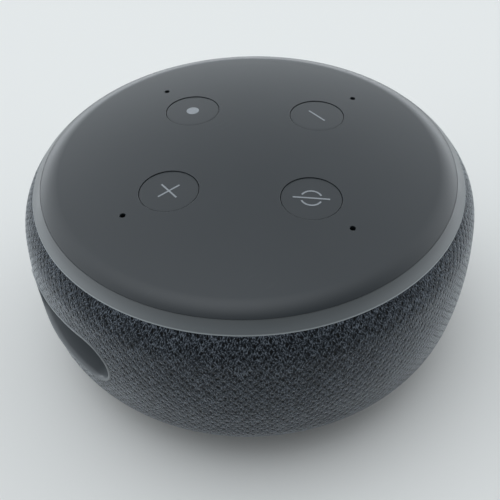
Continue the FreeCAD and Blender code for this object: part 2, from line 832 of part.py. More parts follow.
def make_ribbon():
    """The flat cable that loops between the two boards, and its two connectors."""
    connector_place, connector_height, width = (0, -34.0, 14, 4), 1.0, 10
    upper, lower = Piece("ribbon_connector_top"), Piece("ribbon_connector_main")
    upper.raise_up(dim.mic_board_height - connector_height, dim.mic_board_height,
                   [rectangle(*connector_place)])
    lower.raise_up(main_board_top, main_board_top + connector_height, [rectangle(*connector_place)])

    high = dim.mic_board_height - connector_height / 2
    low = main_board_top + connector_height / 2
    middle, half_gap = (high + low) / 2, (high - low) / 2
    face, turn_start, half = -36.0, -36.6, 0.1
    outside, inside = half_gap + half, half_gap - half
    cable = Piece("ribbon_cable")
    sketch = cable.sketch("YZ", 0, [outline([
        (face, high + half), (turn_start, high + half, outside), (turn_start - outside, middle, outside),
        (turn_start, low - half), (face, low - half), (face, low + half),
        (turn_start, low + half, -inside), (turn_start - inside, middle, -inside),
        (turn_start, high - half), (face, high - half)])])
    pad, _ = cable.feature("Pad", sketch, False)
    pad.Midplane = True
    pad.Length = width
    cable.settle(pad, 0)


WIRES_ACROSS = (-1.6, 0.2)
WIRE_LEVEL = 18.8
WIRE_RADIUS = 0.5


def make_speaker_lead():
    """Two wires from the driver's terminals, out through the chamber's flat, up to the board."""
    start, rise_y, bend, connector_low = 18.6, 31.2, 2.3, 23.9
    wire_level = WIRE_LEVEL
    connector = Piece("speaker_connector")
    connector.raise_up(connector_low, dim.main_board_height,
                       [rectangle(sum(WIRES_ACROSS) / 2, rise_y, 5.4, 3.6)])
    wires = Piece("speaker_wires")
    for x in WIRES_ACROSS:
        section = wires.sketch("XZ", start, [disc(x, wire_level, WIRE_RADIUS)])
        route = wires.sketch("YZ", x, [])
        level_end, rise_start = rise_y - bend, wire_level + bend
        corner = Part.Circle(FreeCAD.Vector(level_end, rise_start, 0), FreeCAD.Vector(0, 0, 1), bend)
        runs = [
            Part.LineSegment(FreeCAD.Vector(start, wire_level, 0), FreeCAD.Vector(level_end, wire_level, 0)),
            Part.ArcOfCircle(corner, -math.pi / 2, 0),
            Part.LineSegment(FreeCAD.Vector(rise_y, rise_start, 0), FreeCAD.Vector(rise_y, connector_low, 0)),
        ]
        for run in runs:
            route.addGeometry(run, False)
        route.addConstraint(Sketcher.Constraint("Tangent", 0, 2, 1, 1))
        route.addConstraint(Sketcher.Constraint("Tangent", 1, 2, 2, 1))
        fix_point(route, 0, 1, start, wire_level)
        fix_point(route, 2, 2, rise_y, connector_low)
        drive(route, "Radius", (1,), as_size(bend))
        pipe, _ = wires.feature("AdditivePipe", section, False)
        pipe.Spine = (route, ["Edge1", "Edge2", "Edge3"])
        wires.settle(pipe, 0)


# ---------------------------------------------------------------- speaker chamber

def make_chamber():
    baffle = Piece("speaker_baffle")
    baffle.raise_up(dim.baffle_height, baffle_top,
                    [disc(0, 0, dim.baffle_radius), disc(0, 0, dim.baffle_opening)])
    post_bottom = dim.baffle_height - dim.baffle_post_drop
    baffle.raise_up(post_bottom, dim.baffle_height + OVERLAP, discs(lug_places, dim.post_radius))
    baffle.cut(post_bottom, baffle_top, discs(lug_places, dim.main_screw_radius))
    baffle.cut(dim.baffle_height, baffle_top - 0.7, discs(pillar_places, dim.base_screw_radius))
    baffle.cut(dim.baffle_height, baffle_top - 0.5, discs(driver_screw_places, dim.driver_screw_radius))

    gasket = Piece("enclosure_gasket")
    gasket.raise_up(baffle_top, chamber_bottom, [chamber_outline(as_size(0)),
                                                 chamber_outline(dim.chamber_wall)])

    chamber = Piece("speaker_enclosure")
    chamber.raise_up(chamber_bottom, dim.chamber_top, [chamber_outline(as_size(0))])
    chamber.raise_up(dim.chamber_top - OVERLAP, dim.main_board_height,
                     discs(main_screw_places, dim.post_radius))
    lug_top = chamber_bottom + dim.lug_height
    chamber.raise_up(chamber_bottom, lug_top, discs(lug_places, dim.lug_radius))
    chamber.cut(chamber_bottom, chamber_ceiling, [chamber_outline(dim.chamber_wall)])
    chamber.raise_up(dim.board_post_low, chamber_ceiling + OVERLAP,
                     discs(main_screw_places, dim.post_radius))
    chamber.cut(dim.board_post_low + 1.2, dim.main_board_height,
                discs(main_screw_places, dim.main_screw_radius))
    chamber.cut(chamber_bottom, lug_top, discs(lug_places, dim.main_screw_radius + dim.screw_play))
    chamber.cut(dim.chamber_flat - dim.chamber_wall - 1, dim.chamber_flat + 1,
                [disc(x, WIRE_LEVEL, WIRE_RADIUS) for x in WIRES_ACROSS], plane="XZ")

    screws("enclosure_screws", lug_places,
           (dim.screw_head_radius, lug_top, lug_top + dim.screw_head_height),
           (dim.main_screw_radius, dim.baffle_height - 2.5, lug_top))


# ---------------------------------------------------------------- driver

def make_driver():
    flange_low, flange_high = dim.baffle_height - 1.5, dim.baffle_height - 0.5
    seat_radius, neck_radius, neck_low, neck_top = 19.4, 14.6, 17.4, 18.4
    shoulder_outside, shoulder_inside = (19.2, 12.6), (18.7, 11.2)
    frame = Piece("driver_frame")
    frame.turn([
        (seat_radius, flange_low), (dim.flange_outer, flange_low), (dim.flange_outer, flange_high),
        (seat_radius + 0.3, flange_high), shoulder_outside, (neck_radius, neck_low),
        (neck_radius, neck_top), (dim.yoke_radius, neck_top), (dim.yoke_radius, dim.yoke_bottom),
        (neck_radius - 0.7, dim.yoke_bottom), shoulder_inside])
    window = frame.sketch("XZ", -FAR, [rectangle(0, dim.basket_window_level, dim.basket_window_width,
                                                 dim.basket_window_height)])
    cutter, before = frame.feature("Pocket", window, True)
    inside_basket = 10
    cutter.Length = FAR - inside_basket
    frame.repeat(frame.settle(cutter, before), WINDOW_COUNT)
    frame.cut(flange_low, flange_high, discs(driver_screw_places, dim.driver_screw_hole))

    gasket = Piece("driver_gasket")
    gasket.raise_up(flange_high, dim.baffle_height,
                    [disc(0, 0, dim.flange_outer), disc(0, 0, dim.driver_gasket_inner)]
                    + discs(driver_screw_places, dim.driver_screw_hole))
    screws("driver_screws", driver_screw_places, (1.4, flange_low - 0.9, flange_low),
           (dim.driver_screw_radius, flange_low, baffle_top - 0.7))

    Piece("magnet_yoke").turn([
        (0, dim.yoke_top - dim.yoke_floor), (dim.yoke_bore, dim.yoke_top - dim.yoke_floor),
        (dim.yoke_bore, dim.yoke_bottom), (dim.yoke_radius, dim.yoke_bottom),
        (dim.yoke_radius, dim.yoke_top), (0, dim.yoke_top)])
    Piece("magnet").raise_up(dim.pole_top, dim.yoke_top - dim.yoke_floor, [disc(0, 0, dim.magnet_radius)])
    Piece("pole_plate").raise_up(dim.pole_bottom, dim.pole_top, [disc(0, 0, dim.pole_radius)])
    terminals = Piece("driver_terminals")
    terminals.raise_up(neck_top, neck_top + 0.8, [rectangle(sum(WIRES_ACROSS) / 2, 16.1, 8, 5)])


def make_cone():
    """The moving part of the driver, which faces down, and the two soft rings that hold it."""
    former_low, winding_low, winding_high, former_high = 13.6, 17.1, 19.1, 19.5
    Piece("voice_coil").turn([
        (dim.coil_inner, former_low), (dim.coil_former, former_low), (dim.coil_former, winding_low),
        (dim.coil_outer, winding_low), (dim.coil_outer, winding_high), (dim.coil_former, winding_high),
        (dim.coil_former, former_high), (dim.coil_inner, former_high)])
    rim_low, neck_low, paper = 10.2, 14.4, 0.4
    Piece("speaker_cone").turn([
        (dim.coil_former, neck_low), (dim.cone_radius - dim.roll_thickness, rim_low),
        (dim.cone_radius, rim_low), (dim.cone_radius, rim_low + paper),
        (dim.coil_former, neck_low + 0.5)])
    dome_radius, dome_low = 25.6, 12.2
    Piece("dust_cap").turn([
        (0, dome_low, dome_radius), (dim.coil_inner, former_low),
        (dim.coil_inner, former_low + paper, -dome_radius), (0, dome_low + paper)])

    outer, inner, seat = dim.roll_radius, dim.roll_radius - dim.roll_thickness, 21.3
    roll_x = dim.cone_radius + inner
    lip = root(outer * outer - dim.roll_thickness * dim.roll_thickness)
    Piece("surround").turn([
        (roll_x - outer, rim_low, outer), (roll_x, rim_low - outer, outer),
        (roll_x + lip, rim_low - dim.roll_thickness), (seat, rim_low - dim.roll_thickness),
        (seat, rim_low), (roll_x + inner, rim_low, -inner), (roll_x, rim_low - inner, -inner),
        (roll_x - inner, rim_low)])
    make_spider()


def make_spider():
    """A corrugated ring between the coil former and the yoke."""
    thickness, flat, waves, first, pitch, dip = 0.3, 15.6, 3, 9.0, 1.2, 0.5
    rim_level, rim_outer = 16.6, 13.8
    under = [(dim.coil_former, flat)]
    for wave in range(waves):
        under += [(first + wave * pitch, flat), (first + (wave + 0.5) * pitch, flat - dip)]
    under += [(12.6, flat), (12.9, rim_level), (rim_outer, rim_level)]
    above = [(x, as_size(z) + thickness) for x, z in reversed(under[:-2])]
    Piece("spider").turn(under + [(rim_outer, dim.yoke_bottom), (12.5, dim.yoke_bottom)] + above)


# ---------------------------------------------------------------- base

def make_base():
    base = Piece("base_cover")
    base.turn([
        (0, dim.land_bottom + dim.label_recess), (dim.label_radius, dim.land_bottom + dim.label_recess),
        (dim.label_radius, dim.land_bottom), (dim.land_radius, dim.land_bottom),
        (dim.land_radius, dim.base_bottom), (dim.base_radius, dim.base_bottom),
        (dim.base_radius, base_top), (0, base_top)])
    sink_top = dim.base_bottom + dim.base_sink_depth
    base.cut(dim.base_bottom, sink_top, discs(pillar_places, dim.base_sink_radius))
    base.cut(dim.base_bottom, base_top, discs(pillar_places, dim.base_screw_radius))

    label_gap, label_margin = 0.02, 0.2
    label = Piece("base_label")
    label.raise_up(dim.land_bottom + label_gap, dim.land_bottom + dim.label_recess,
                   [disc(0, 0, dim.label_radius - label_margin)])

    foot = Piece("foot_pad")
    foot.raise_up(0, dim.base_bottom, [disc(0, 0, dim.pad_outer), disc(0, 0, dim.pad_inner)])
    foot_rounding, floor_zone = 0.5, 0.1
    foot.round_edges(foot_rounding, lambda edge: edge.BoundBox.ZMax < floor_zone)

    head_sink = 0.05
    screws("base_screws", pillar_places,
           (dim.base_screw_head, dim.base_bottom + head_sink, sink_top),
           (dim.base_screw_radius, sink_top, baffle_top - 1))

    rim_thickness, tip_radius = 0.8, 2
    Piece("sound_diffuser").turn([
        (0, base_top), (dim.diffuser_radius, base_top),
        (dim.diffuser_radius, base_top + rim_thickness, -dim.diffuser_curve),
        (tip_radius, dim.diffuser_top), (0, dim.diffuser_top)])


# ---------------------------------------------------------------- build, check and write

def build():
    make_top_cover()
    make_light_ring()
    for name, place in zip(BUTTON_NAMES, button_places):
        make_button(name, place)
    make_mic_board()
    make_top_frame()
    make_fabric_sleeve()
    make_side_housing()
    make_port()
    make_main_board()
    make_ribbon()
    make_speaker_lead()
    make_chamber()
    make_driver()
    make_cone()
    make_base()
    doc.recompute()


def check():
    """Stop if any object failed or any piece has no sound shape."""
    for thing in doc.Objects:
        if "Invalid" in thing.State or "Error" in thing.State:
            raise RuntimeError(f"{thing.Name} is {thing.State}")
    for piece in Piece.pieces:
        shape = piece.body.Shape
        if shape.isNull() or not shape.isValid() or not shape.Solids:
            raise RuntimeError(f"{piece.label} has no sound shape")


def write():
    os.makedirs("parts", exist_ok=True)
    for piece in Piece.pieces:
        piece.body.Shape.exportStep(f"parts/{piece.label}.step")
        size = piece.body.Shape.BoundBox
        print(f"{piece.label:24s} solids {len(piece.body.Shape.Solids):3d}"
              f"  z {size.ZMin:7.2f} to {size.ZMax:6.2f}  volume {piece.body.Shape.Volume:10.2f}")


build()
check()
write()
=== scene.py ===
import json
import math

import bmesh
import bpy
import numpy as np
from mathutils import Matrix, Vector
from mathutils.geometry import delaunay_2d_cdt


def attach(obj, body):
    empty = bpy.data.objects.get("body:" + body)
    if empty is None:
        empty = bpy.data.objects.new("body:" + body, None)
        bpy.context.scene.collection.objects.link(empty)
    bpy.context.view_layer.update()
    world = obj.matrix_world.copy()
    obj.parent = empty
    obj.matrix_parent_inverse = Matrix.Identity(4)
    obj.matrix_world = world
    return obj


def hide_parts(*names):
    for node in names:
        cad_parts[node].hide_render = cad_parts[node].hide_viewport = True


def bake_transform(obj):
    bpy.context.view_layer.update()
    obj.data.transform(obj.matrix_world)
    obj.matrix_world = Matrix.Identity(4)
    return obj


# The looks of a puck-shaped smart speaker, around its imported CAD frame.
# Shapes are worked out in millimetres, in the frame's own axes, and scaled as they become meshes.

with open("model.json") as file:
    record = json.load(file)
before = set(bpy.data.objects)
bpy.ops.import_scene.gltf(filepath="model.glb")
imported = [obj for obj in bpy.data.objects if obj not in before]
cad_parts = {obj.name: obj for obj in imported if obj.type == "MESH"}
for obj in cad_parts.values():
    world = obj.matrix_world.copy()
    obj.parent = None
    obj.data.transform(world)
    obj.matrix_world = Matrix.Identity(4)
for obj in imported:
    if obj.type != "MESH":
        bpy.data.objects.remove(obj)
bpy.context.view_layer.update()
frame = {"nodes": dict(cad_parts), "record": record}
MM = 0.001

# ---------------------------------------------------------------- driving sizes, in millimetres

BODY_RADIUS = 49.5
WAIST_HEIGHT = 21.0
UPPER_SIDE = (77.0, 8.6)      # radius, and the turn in degrees that the arc makes
SHOULDER = (10.4, 38.0)
LOWER_SIDE = (66.5, 7.5)
TUCK = (12.9, 76.1)
FABRIC_THICKNESS = 0.9

TOP_HEIGHT = 43.0
CROWN_RADIUS = 560.0
CROWN_ANGLE = 4.079
EDGE_RADIUS = 7.7
EDGE_ANGLE = 34.5
COVER_UNDERSIDE = 40.4
SKIRT_BOTTOM = 37.6
SKIRT_THICKNESS = 1.6
RING_GAP = 0.02
RING_TOP = 40.22
RING_LEG_RADIUS = 41.9
RING_SEAT = (43.642, 36.554)
RING_LEG_HEIGHT = 0.95
RING_OVERHANG = 0.18
RING_ROLL = 0.42
RING_CROWN = 0.07
RING_SOFTENING = 0.06
RING_EDGE = 38.4       # the height of the ring's lower edge

BUTTON_CIRCLE = 20.0
BUTTON_HOLE_RADIUS = 6.1
BUTTON_RADIUS = 5.99
BUTTON_SINK = 0.11
BUTTON_EDGE = 0.12
MIC_CIRCLE = 31.1
MIC_HOLE_RADIUS = 0.6
HOLE_EDGE = 0.08
HOLE_SUPPORT = 0.15     # how far round a hole the face keeps its own slope

PORT_HEIGHT = 22.6
PORT_RADIUS = 5.45
PORT_HALF_LENGTH = 9.8
PORT_LIP = 0.6
PORT_FLOOR = 42.5
PORT_BACK = 40.9
JACK_OFFSET = 8.0
DC_NOSE_RADIUS = 3.3
AUX_NOSE_RADIUS = 2.9
NOSE_GAP = 0.1

STITCH_WIDTH = 1.9
STITCH_HEIGHT = 2.1


# ---------------------------------------------------------------- sections

def arc(centre, radius, start, end, steps):
    """Points along an arc, with angles in degrees."""
    angles = np.radians(np.linspace(start, end, steps + 1))
    return [(centre[0] + radius * math.cos(a), centre[1] + radius * math.sin(a)) for a in angles]


def wall_arcs():
    """The side wall's arcs from the shoulder down: (radius, centre, highest angle, lowest angle)."""
    upper_centre = (BODY_RADIUS - UPPER_SIDE[0], WAIST_HEIGHT)
    lower_centre = (BODY_RADIUS - LOWER_SIDE[0], WAIST_HEIGHT)
    upper_turn, lower_turn = math.radians(UPPER_SIDE[1]), math.radians(LOWER_SIDE[1])
    shoulder_reach = UPPER_SIDE[0] - SHOULDER[0]
    tuck_reach = LOWER_SIDE[0] - TUCK[0]
    shoulder_centre = (upper_centre[0] + shoulder_reach * math.cos(upper_turn),
                       upper_centre[1] + shoulder_reach * math.sin(upper_turn))
    tuck_centre = (lower_centre[0] + tuck_reach * math.cos(lower_turn),
                   lower_centre[1] - tuck_reach * math.sin(lower_turn))
    top = UPPER_SIDE[1] + SHOULDER[1]
    bottom = -(LOWER_SIDE[1] + TUCK[1])
    return [(SHOULDER[0], shoulder_centre, top, UPPER_SIDE[1]),
            (UPPER_SIDE[0], upper_centre, UPPER_SIDE[1], 0.0),
            (LOWER_SIDE[0], lower_centre, 0.0, -LOWER_SIDE[1]),
            (TUCK[0], tuck_centre, -LOWER_SIDE[1], bottom)]


def wall_line(spacing=0.02):
    """The wall's face from the shoulder down: distance along it, radius, height and normal angle."""
    rows = []
    travelled = 0.0
    for radius, centre, high, low in wall_arcs():
        length = radius * math.radians(high - low)
        steps = max(2, round(length / spacing))
        for angle in np.radians(np.linspace(high, low, steps, endpoint=False)):
            along = travelled + radius * (math.radians(high) - angle)
            rows.append((along, centre[0] + radius * math.cos(angle),
                         centre[1] + radius * math.sin(angle), angle))
        travelled += length
    end = math.radians(low)
    rows.append((travelled, centre[0] + radius * math.cos(end), centre[1] + radius * math.sin(end), end))
    return np.array(rows)


WALL = wall_line()
WALL_LENGTH = WALL[-1, 0]


def wall_radius(height):
    """The wall's radius at a height, or at an array of heights."""
    return np.interp(height, WALL[::-1, 2], WALL[::-1, 1])


def crown_height(x, y):
    """The top cover's height over a place."""
    centre = TOP_HEIGHT - CROWN_RADIUS
    return centre + math.sqrt(CROWN_RADIUS ** 2 - x * x - y * y)


def around(count, radius, start=0.0, centre=(0.0, 0.0)):
    """Places spread evenly round a circle."""
    angles = [math.radians(start) + math.tau * i / count for i in range(count)]
    return [(centre[0] + radius * math.cos(a), centre[1] + radius * math.sin(a)) for a in angles]


# ---------------------------------------------------------------- meshes

CLOSE_ENOUGH = 1e-7     # points nearer than this are one point


class Shell:
    """The points and faces of one mesh, built up loop by loop."""

    def __init__(self):
        self.points = []
        self.faces = []

    def add(self, points):
        """Adds points and gives their numbers."""
        start = len(self.points)
        self.points += [tuple(p) for p in points]
        return list(range(start, len(self.points)))

    def bridge(self, first, second):
        """A band of quads between two closed loops."""
        count = len(first)
        for i in range(count):
            j = (i + 1) % count
            self.faces.append((first[i], first[j], second[j], second[i]))

    def bands(self, loops, closed=False):
        """Bands between each loop and the next, and back to the first where the section is closed."""
        for first, second in zip(loops, loops[1:] + loops[:1] if closed else loops[1:]):
            self.bridge(first, second)

    def cap(self, loop):
        """A fan that closes a loop about its middle."""
        middle = np.mean([self.points[i] for i in loop], axis=0)
        centre = self.add([middle])[0]
        for i, corner in enumerate(loop):
            self.faces.append((corner, loop[(i + 1) % len(loop)], centre))

    def turn(self, section, count, closed=True):
        """A section of (radius, height) turned round the speaker's axis."""
        loops = [self.add([(x, y, z) for x, y in around(count, radius)]) for radius, z in section]
        self.bands(loops, closed)
        return loops

    def fill(self, loops, inner_points, keep, height):
        """Triangles between closed loops that are already here, over extra points, where keep(x, y)."""
        inner = self.add([(x, y, height(x, y)) for x, y in inner_points])
        used = [i for loop in loops for i in loop] + inner
        local = {number: place for place, number in enumerate(used)}
        edges = [(local[a], local[b]) for loop in loops for a, b in zip(loop, loop[1:] + loop[:1])]
        flat = [Vector(self.points[i][:2]) for i in used]
        faces, sources = delaunay_2d_cdt(flat, edges, [], 0, CLOSE_ENOUGH)[2:4]
        for face in faces:
            corners = [used[sources[v][0]] for v in face]
            x, y, _ = np.mean([self.points[i] for i in corners], axis=0)
            if keep(x, y):
                self.faces.append(tuple(corners))

    def mesh(self, name, sharp_angle=32.0):
        """The finished mesh, in metres, with outward normals and crisp edges past an angle."""
        made = bpy.data.meshes.new(name)
        made.from_pydata([tuple(c * MM for c in p) for p in self.points], [], self.faces)
        work = bmesh.new()
        work.from_mesh(made)
        bmesh.ops.recalc_face_normals(work, faces=work.faces)
        work.to_mesh(made)
        work.free()
        made.shade_smooth()
        made.set_sharp_from_angle(angle=math.radians(sharp_angle))
        return made


def add_object(name, data):
    """An object in the scene that holds a mesh or a camera."""
    made = bpy.data.objects.new(name, data)
    bpy.context.scene.collection.objects.link(made)
    return made


def place(name, mesh, body, slot, *nodes):
    """Makes a mesh a piece that rides on a body, has a slot's finish and stands for CAD nodes."""
    piece = add_object(name, mesh)
    mesh.materials.append(FINISHES[slot])
    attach(piece, body)
    if nodes:
        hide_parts(*nodes)
    return piece


# ---------------------------------------------------------------- material nodes

COLOURS = {m["slot"]: tuple(m["base_color"]) for m in frame["record"]["materials"]}
COVER_COLOUR = (0.0165, 0.0208, 0.0244)


def shade(colour, share):
    """A colour made lighter or darker, with full alpha."""
    return tuple(min(c * share, 1.0) for c in colour[:3]) + (1.0,)


class Nodes:
    """A shader's node tree."""

    def __init__(self, tree):
        self.tree = tree

    def node(self, kind, inputs=None, **settings):
        """A node with its settings, and its inputs set or linked by name or number."""
        made = self.tree.nodes.new("ShaderNode" + kind)
        for key, value in settings.items():
            setattr(made, key, value)
        for key, value in (inputs or {}).items():
            if isinstance(value, bpy.types.NodeSocket):
                self.tree.links.new(value, made.inputs[key])
            else:
                made.inputs[key].default_value = value
        return made

    def math(self, operation, *values):
        """A value worked out from others."""
        return self.node("Math", dict(enumerate(values)), operation=operation).outputs[0]


class Finish(Nodes):
    """A Principled material whose colour, roughness and relief come from nodes."""

    def __init__(self, slot, metallic=0.0, specular=0.5):
        self.slot = slot
        self.material = bpy.data.materials.new(slot + "_finish")
        self.material.use_nodes = True
        super().__init__(self.material.node_tree)
        self.shader = self.tree.nodes["Principled BSDF"]
        self.shader.inputs["Metallic"].default_value = metallic
        self.shader.inputs["Specular IOR Level"].default_value = specular
        self.place = self.node("TexCoord").outputs["Object"]

    def noise(self, size, detail=2.0, roughness=0.5, stretch=None, place=None):
        """Noise with features of a size in millimetres, drawn out by a stretch along each axis."""
        place = place or self.place
        if stretch:
            place = self.node("Mapping", {"Vector": place, "Scale": stretch}).outputs[0]
        return self.node("TexNoise", {"Vector": place, "Scale": 1 / (size * MM), "Detail": detail,
                                      "Roughness": roughness}).outputs["Fac"]

    def span(self, value, low=0.0, high=1.0, start=0.3, end=0.7):
        """A value brought from one range to another, and held inside it."""
        return self.node("MapRange", {
            "Value": value, "From Min": start, "From Max": end, "To Min": low, "To Max": high}).outputs[0]

    def mix(self, share, first, second):
        """Two colours mixed."""
        return self.node("Mix", {"Factor": share, 6: first, 7: second}, data_type="RGBA").outputs[2]

    def axes(self, value=None):
        """The x, y and z of a place, or of another vector."""
        return self.node("SeparateXYZ", {0: value or self.place}).outputs

    def flecks(self, size, reach, rarity):
        """Round flecks, each in the middle of one of the rarer cells of a size in millimetres."""
        cells = self.node("TexVoronoi", {"Vector": self.place, "Scale": 1 / (size * MM)})
        rare = self.node("SeparateColor", {0: cells.outputs["Color"]}).outputs[0]
        near = self.math("LESS_THAN", cells.outputs["Distance"], reach)
        return self.math("MULTIPLY", near, self.math("GREATER_THAN", rare, rarity))

    def colour(self, value):
        self.tree.links.new(value, self.shader.inputs["Base Color"])

    def roughness(self, value):
        self.tree.links.new(value, self.shader.inputs["Roughness"])

    def bump(self, height, depth):
        """Relief of a depth in millimetres."""
        made = self.node("Bump", {"Height": height, "Distance": depth * MM, "Strength": 1.0})
        self.tree.links.new(made.outputs[0], self.shader.inputs["Normal"])


def moulded(slot, roughness, grain=0.18, depth=0.004, mottle=0.05, colour=None, specular=0.5):
    """Moulded plastic: fine spark-eroded grain, and a slight drift of colour and gloss."""
    finish = Finish(slot, specular=specular)
    colour = colour or COLOURS[slot]
    drift = finish.noise(9.0, detail=4.0)
    finish.colour(finish.mix(finish.span(drift), shade(colour, 1 - mottle),
                             shade(colour, 1 + mottle)))
    finish.roughness(finish.span(finish.noise(5.0, detail=5.0), roughness - 0.015, roughness + 0.015))
    finish.bump(finish.noise(grain, detail=3.0), depth)
    return finish


def metal(slot, roughness, stretch=(1.0, 1.0, 14.0), grain=0.5):
    """Bare or plated metal with drawn-out marks."""
    finish = Finish(slot, metallic=1.0)
    colour = COLOURS[slot]
    marks = finish.noise(grain, detail=4.0, stretch=stretch)
    finish.colour(finish.mix(finish.span(marks), shade(colour, 0.86), shade(colour, 1.08)))
    finish.roughness(finish.span(marks, roughness - 0.07, roughness + 0.09))
    finish.bump(marks, 0.002)
    return finish


def rubber(slot, roughness=0.8, grain=0.25):
    """Matt rubber or foam."""
    return moulded(slot, roughness, grain=grain, depth=0.012, mottle=0.1, specular=0.35)


SCUFF_TURN = 0.7                    # in radians
SCUFF_STRETCH = (9.0, 0.5, 1.0)
WEAR_SHARE, WEAR_PALER = 0.45, 3.2     # how much scuffs and dust show, and how many times paler they are


def cover_plastic():
    """Satin dark cover: fine grain, faint smears, a few pale scuffs and specks of dust."""
    colour = COVER_COLOUR
    finish = Finish("cover_plastic", specular=0.5)
    drift = finish.span(finish.noise(14.0, detail=5.0))
    base = finish.mix(drift, shade(colour, 0.97), shade(colour, 1.03))
    speck = finish.flecks(5.5, reach=0.018, rarity=0.8)
    turned = finish.node("Mapping", {
        "Vector": finish.place, "Rotation": (0.0, 0.0, SCUFF_TURN), "Scale": SCUFF_STRETCH}).outputs[0]
    lines = finish.noise(9.0, detail=3.0, place=turned)
    patches = finish.span(finish.noise(16.0), 0.0, 0.8, 0.54, 0.68)
    scuff = finish.math("MULTIPLY", finish.span(lines, 0.0, 1.0, 0.66, 0.76), patches)
    worn = finish.math("MAXIMUM", scuff, speck)
    finish.colour(finish.mix(finish.math("MULTIPLY", worn, WEAR_SHARE), base, shade(colour, WEAR_PALER)))
    smear = finish.noise(11.0, detail=6.0, roughness=0.6)
    finish.roughness(finish.span(smear, 0.385, 0.405))
    finish.bump(finish.noise(0.16, detail=3.0), 0.0035)
    return finish


RING_COLOUR = (0.066, 0.072, 0.075)
RING_PAINTED_LOW_LIGHT, RING_PAINTED_EDGE_GLOW = 1.75, 4.6     # how many times paler the painted light makes it low down, and the painted glow at its edge


def ring_plastic():
    """Frosted smoke-grey diffuser, with painted light: paler low down, and a painted glow along its lower
    edge.
    """
    colour = RING_COLOUR
    finish = Finish("ring_plastic", specular=0.5)
    drift = finish.span(finish.noise(10.0, detail=3.0))
    face = finish.mix(drift, shade(colour, 0.96), shade(colour, 1.04))
    height = finish.axes()[2]
    # painted light: the face is painted paler towards its lower edge
    lower = finish.span(height, 0.0, 1.0, RING_TOP * MM, (RING_EDGE + 0.5) * MM)
    face = finish.mix(lower, face, shade(colour, RING_PAINTED_LOW_LIGHT))
    # painted glow: a band along the lower edge painted much paler, as a painted highlight
    painted_edge_glow = finish.span(height, 0.0, 1.0, (RING_EDGE + 0.24) * MM, (RING_EDGE + 0.04) * MM)
    finish.colour(finish.mix(painted_edge_glow, face, shade(colour, RING_PAINTED_EDGE_GLOW)))
    finish.roughness(finish.span(finish.noise(6.0, detail=4.0), 0.36, 0.44))
    finish.bump(finish.noise(0.12, detail=2.0), 0.002)
    finish.shader.inputs["Coat Weight"].default_value = 0.15
    finish.shader.inputs["Coat Roughness"].default_value = 0.3
    return finish


RECESS_COLOUR = (0.098, 0.108, 0.116, 1.0)
LIP_PAINTED_HIGHLIGHT = (0.19, 0.205, 0.215, 1.0)


def port_plastic():
    """The port's bezel: a dark recess with a smoother lip, painted paler as a painted highlight."""
    finish = moulded("bezel_plastic", 0.36, depth=0.003)
    x, _, z = finish.axes()
    over = finish.math("MAXIMUM", finish.math("SUBTRACT", finish.math("ABSOLUTE", x),
                                              PORT_HALF_LENGTH * MM), 0.0)
    rise = finish.math("SUBTRACT", z, PORT_HEIGHT * MM)
    reach = finish.math("SQRT", finish.math("MULTIPLY_ADD", over, over, finish.math("POWER", rise, 2.0)))
    # painted highlight: the lip is painted paler than the recess
    painted_lip_highlight = finish.span(reach, 0.0, 1.0, (PORT_RADIUS + 0.1) * MM, (PORT_RADIUS + 0.5) * MM)
    finish.colour(finish.mix(painted_lip_highlight, RECESS_COLOUR, LIP_PAINTED_HIGHLIGHT))
    return finish


INK_COLOUR = (0.25, 0.268, 0.285)


def icon_print():
    """Pale pad print on the caps."""
    finish = Finish("button_plastic", specular=0.4)
    drift = finish.span(finish.noise(0.35, detail=3.0))
    finish.colour(finish.mix(drift, shade(INK_COLOUR, 0.86), shade(INK_COLOUR, 1.06)))
    finish.roughness(finish.span(finish.noise(0.2), 0.48, 0.6))
    finish.bump(finish.noise(0.1), 0.002)
    return finish


# One stitch of the knit, in millimetres from its eye. Each part has its place, its half-size, the power
# of its ends, its lean, how far it stands up and how much lighter it is: the knit's own pattern, with the
# eye and pits darkened as painted shade and the float, its legs and the loop's foot lightened as painted
# light. A part off the middle has a twin.
STITCH_PARTS = (
    ((0.0, 0.0), (0.22, 0.34), 2, 0.0, -0.36, -1.0),        # the eye
    ((0.50, 0.30), (0.13, 0.22), 2, 0.15, -0.20, -0.60),    # the pits above it, at each side
    ((0.0, 0.92), (0.12, 0.40), 4, 0.0, 0.07, 0.20),        # the float that runs up from it
    ((0.26, 0.26), (0.09, 0.36), 2, 0.42, 0.08, 0.40),      # the float's legs, round the eye
    ((0.34, -0.30), (0.09, 0.26), 2, -0.42, 0.07, 0.34),    # the loop's foot, under the eye
)


def stitches(finish, weave):
    """The relief, in millimetres, and the shade of the knit: the mesh's own stitches, drawn finely, with
    painted shade in the eyes and pits and painted light on the raised yarn.
    """
    x, y, _ = finish.axes(weave)
    relief, painted_stitch_shading = 0.0, 0.0
    for half in (0.0, 0.5):
        turned = finish.math("WRAP", finish.math("ADD", x, half), 0.5, -0.5)
        across = finish.math("ABSOLUTE", turned)
        for (cx, cy), (sx, sy), power, lean, rise, lighter in STITCH_PARTS:
            shifted = finish.math("ADD", y, half - cy / STITCH_HEIGHT)
            up = finish.math("WRAP", shifted, 0.5, -0.5)
            leaning = finish.math("MULTIPLY_ADD", up, lean * STITCH_HEIGHT / sx, -cx / sx)
            dx = finish.math("MULTIPLY_ADD", across, STITCH_WIDTH / sx, leaning)
            length = finish.math("MULTIPLY", finish.math("ABSOLUTE", up), STITCH_HEIGHT / sy)
            dy = finish.math("POWER", length, power)
            spread = finish.math("MULTIPLY_ADD", dx, dx, dy)
            bell = finish.math("EXPONENT", finish.math("MULTIPLY", spread, -1.0))
            relief = finish.math("MULTIPLY_ADD", bell, rise, relief)
            # the eyes and pits darken as painted shade; the float, its legs and the foot lighten as painted
            # light
            painted_stitch_shading = finish.math("MULTIPLY_ADD", bell, lighter, painted_stitch_shading)
    return relief, painted_stitch_shading


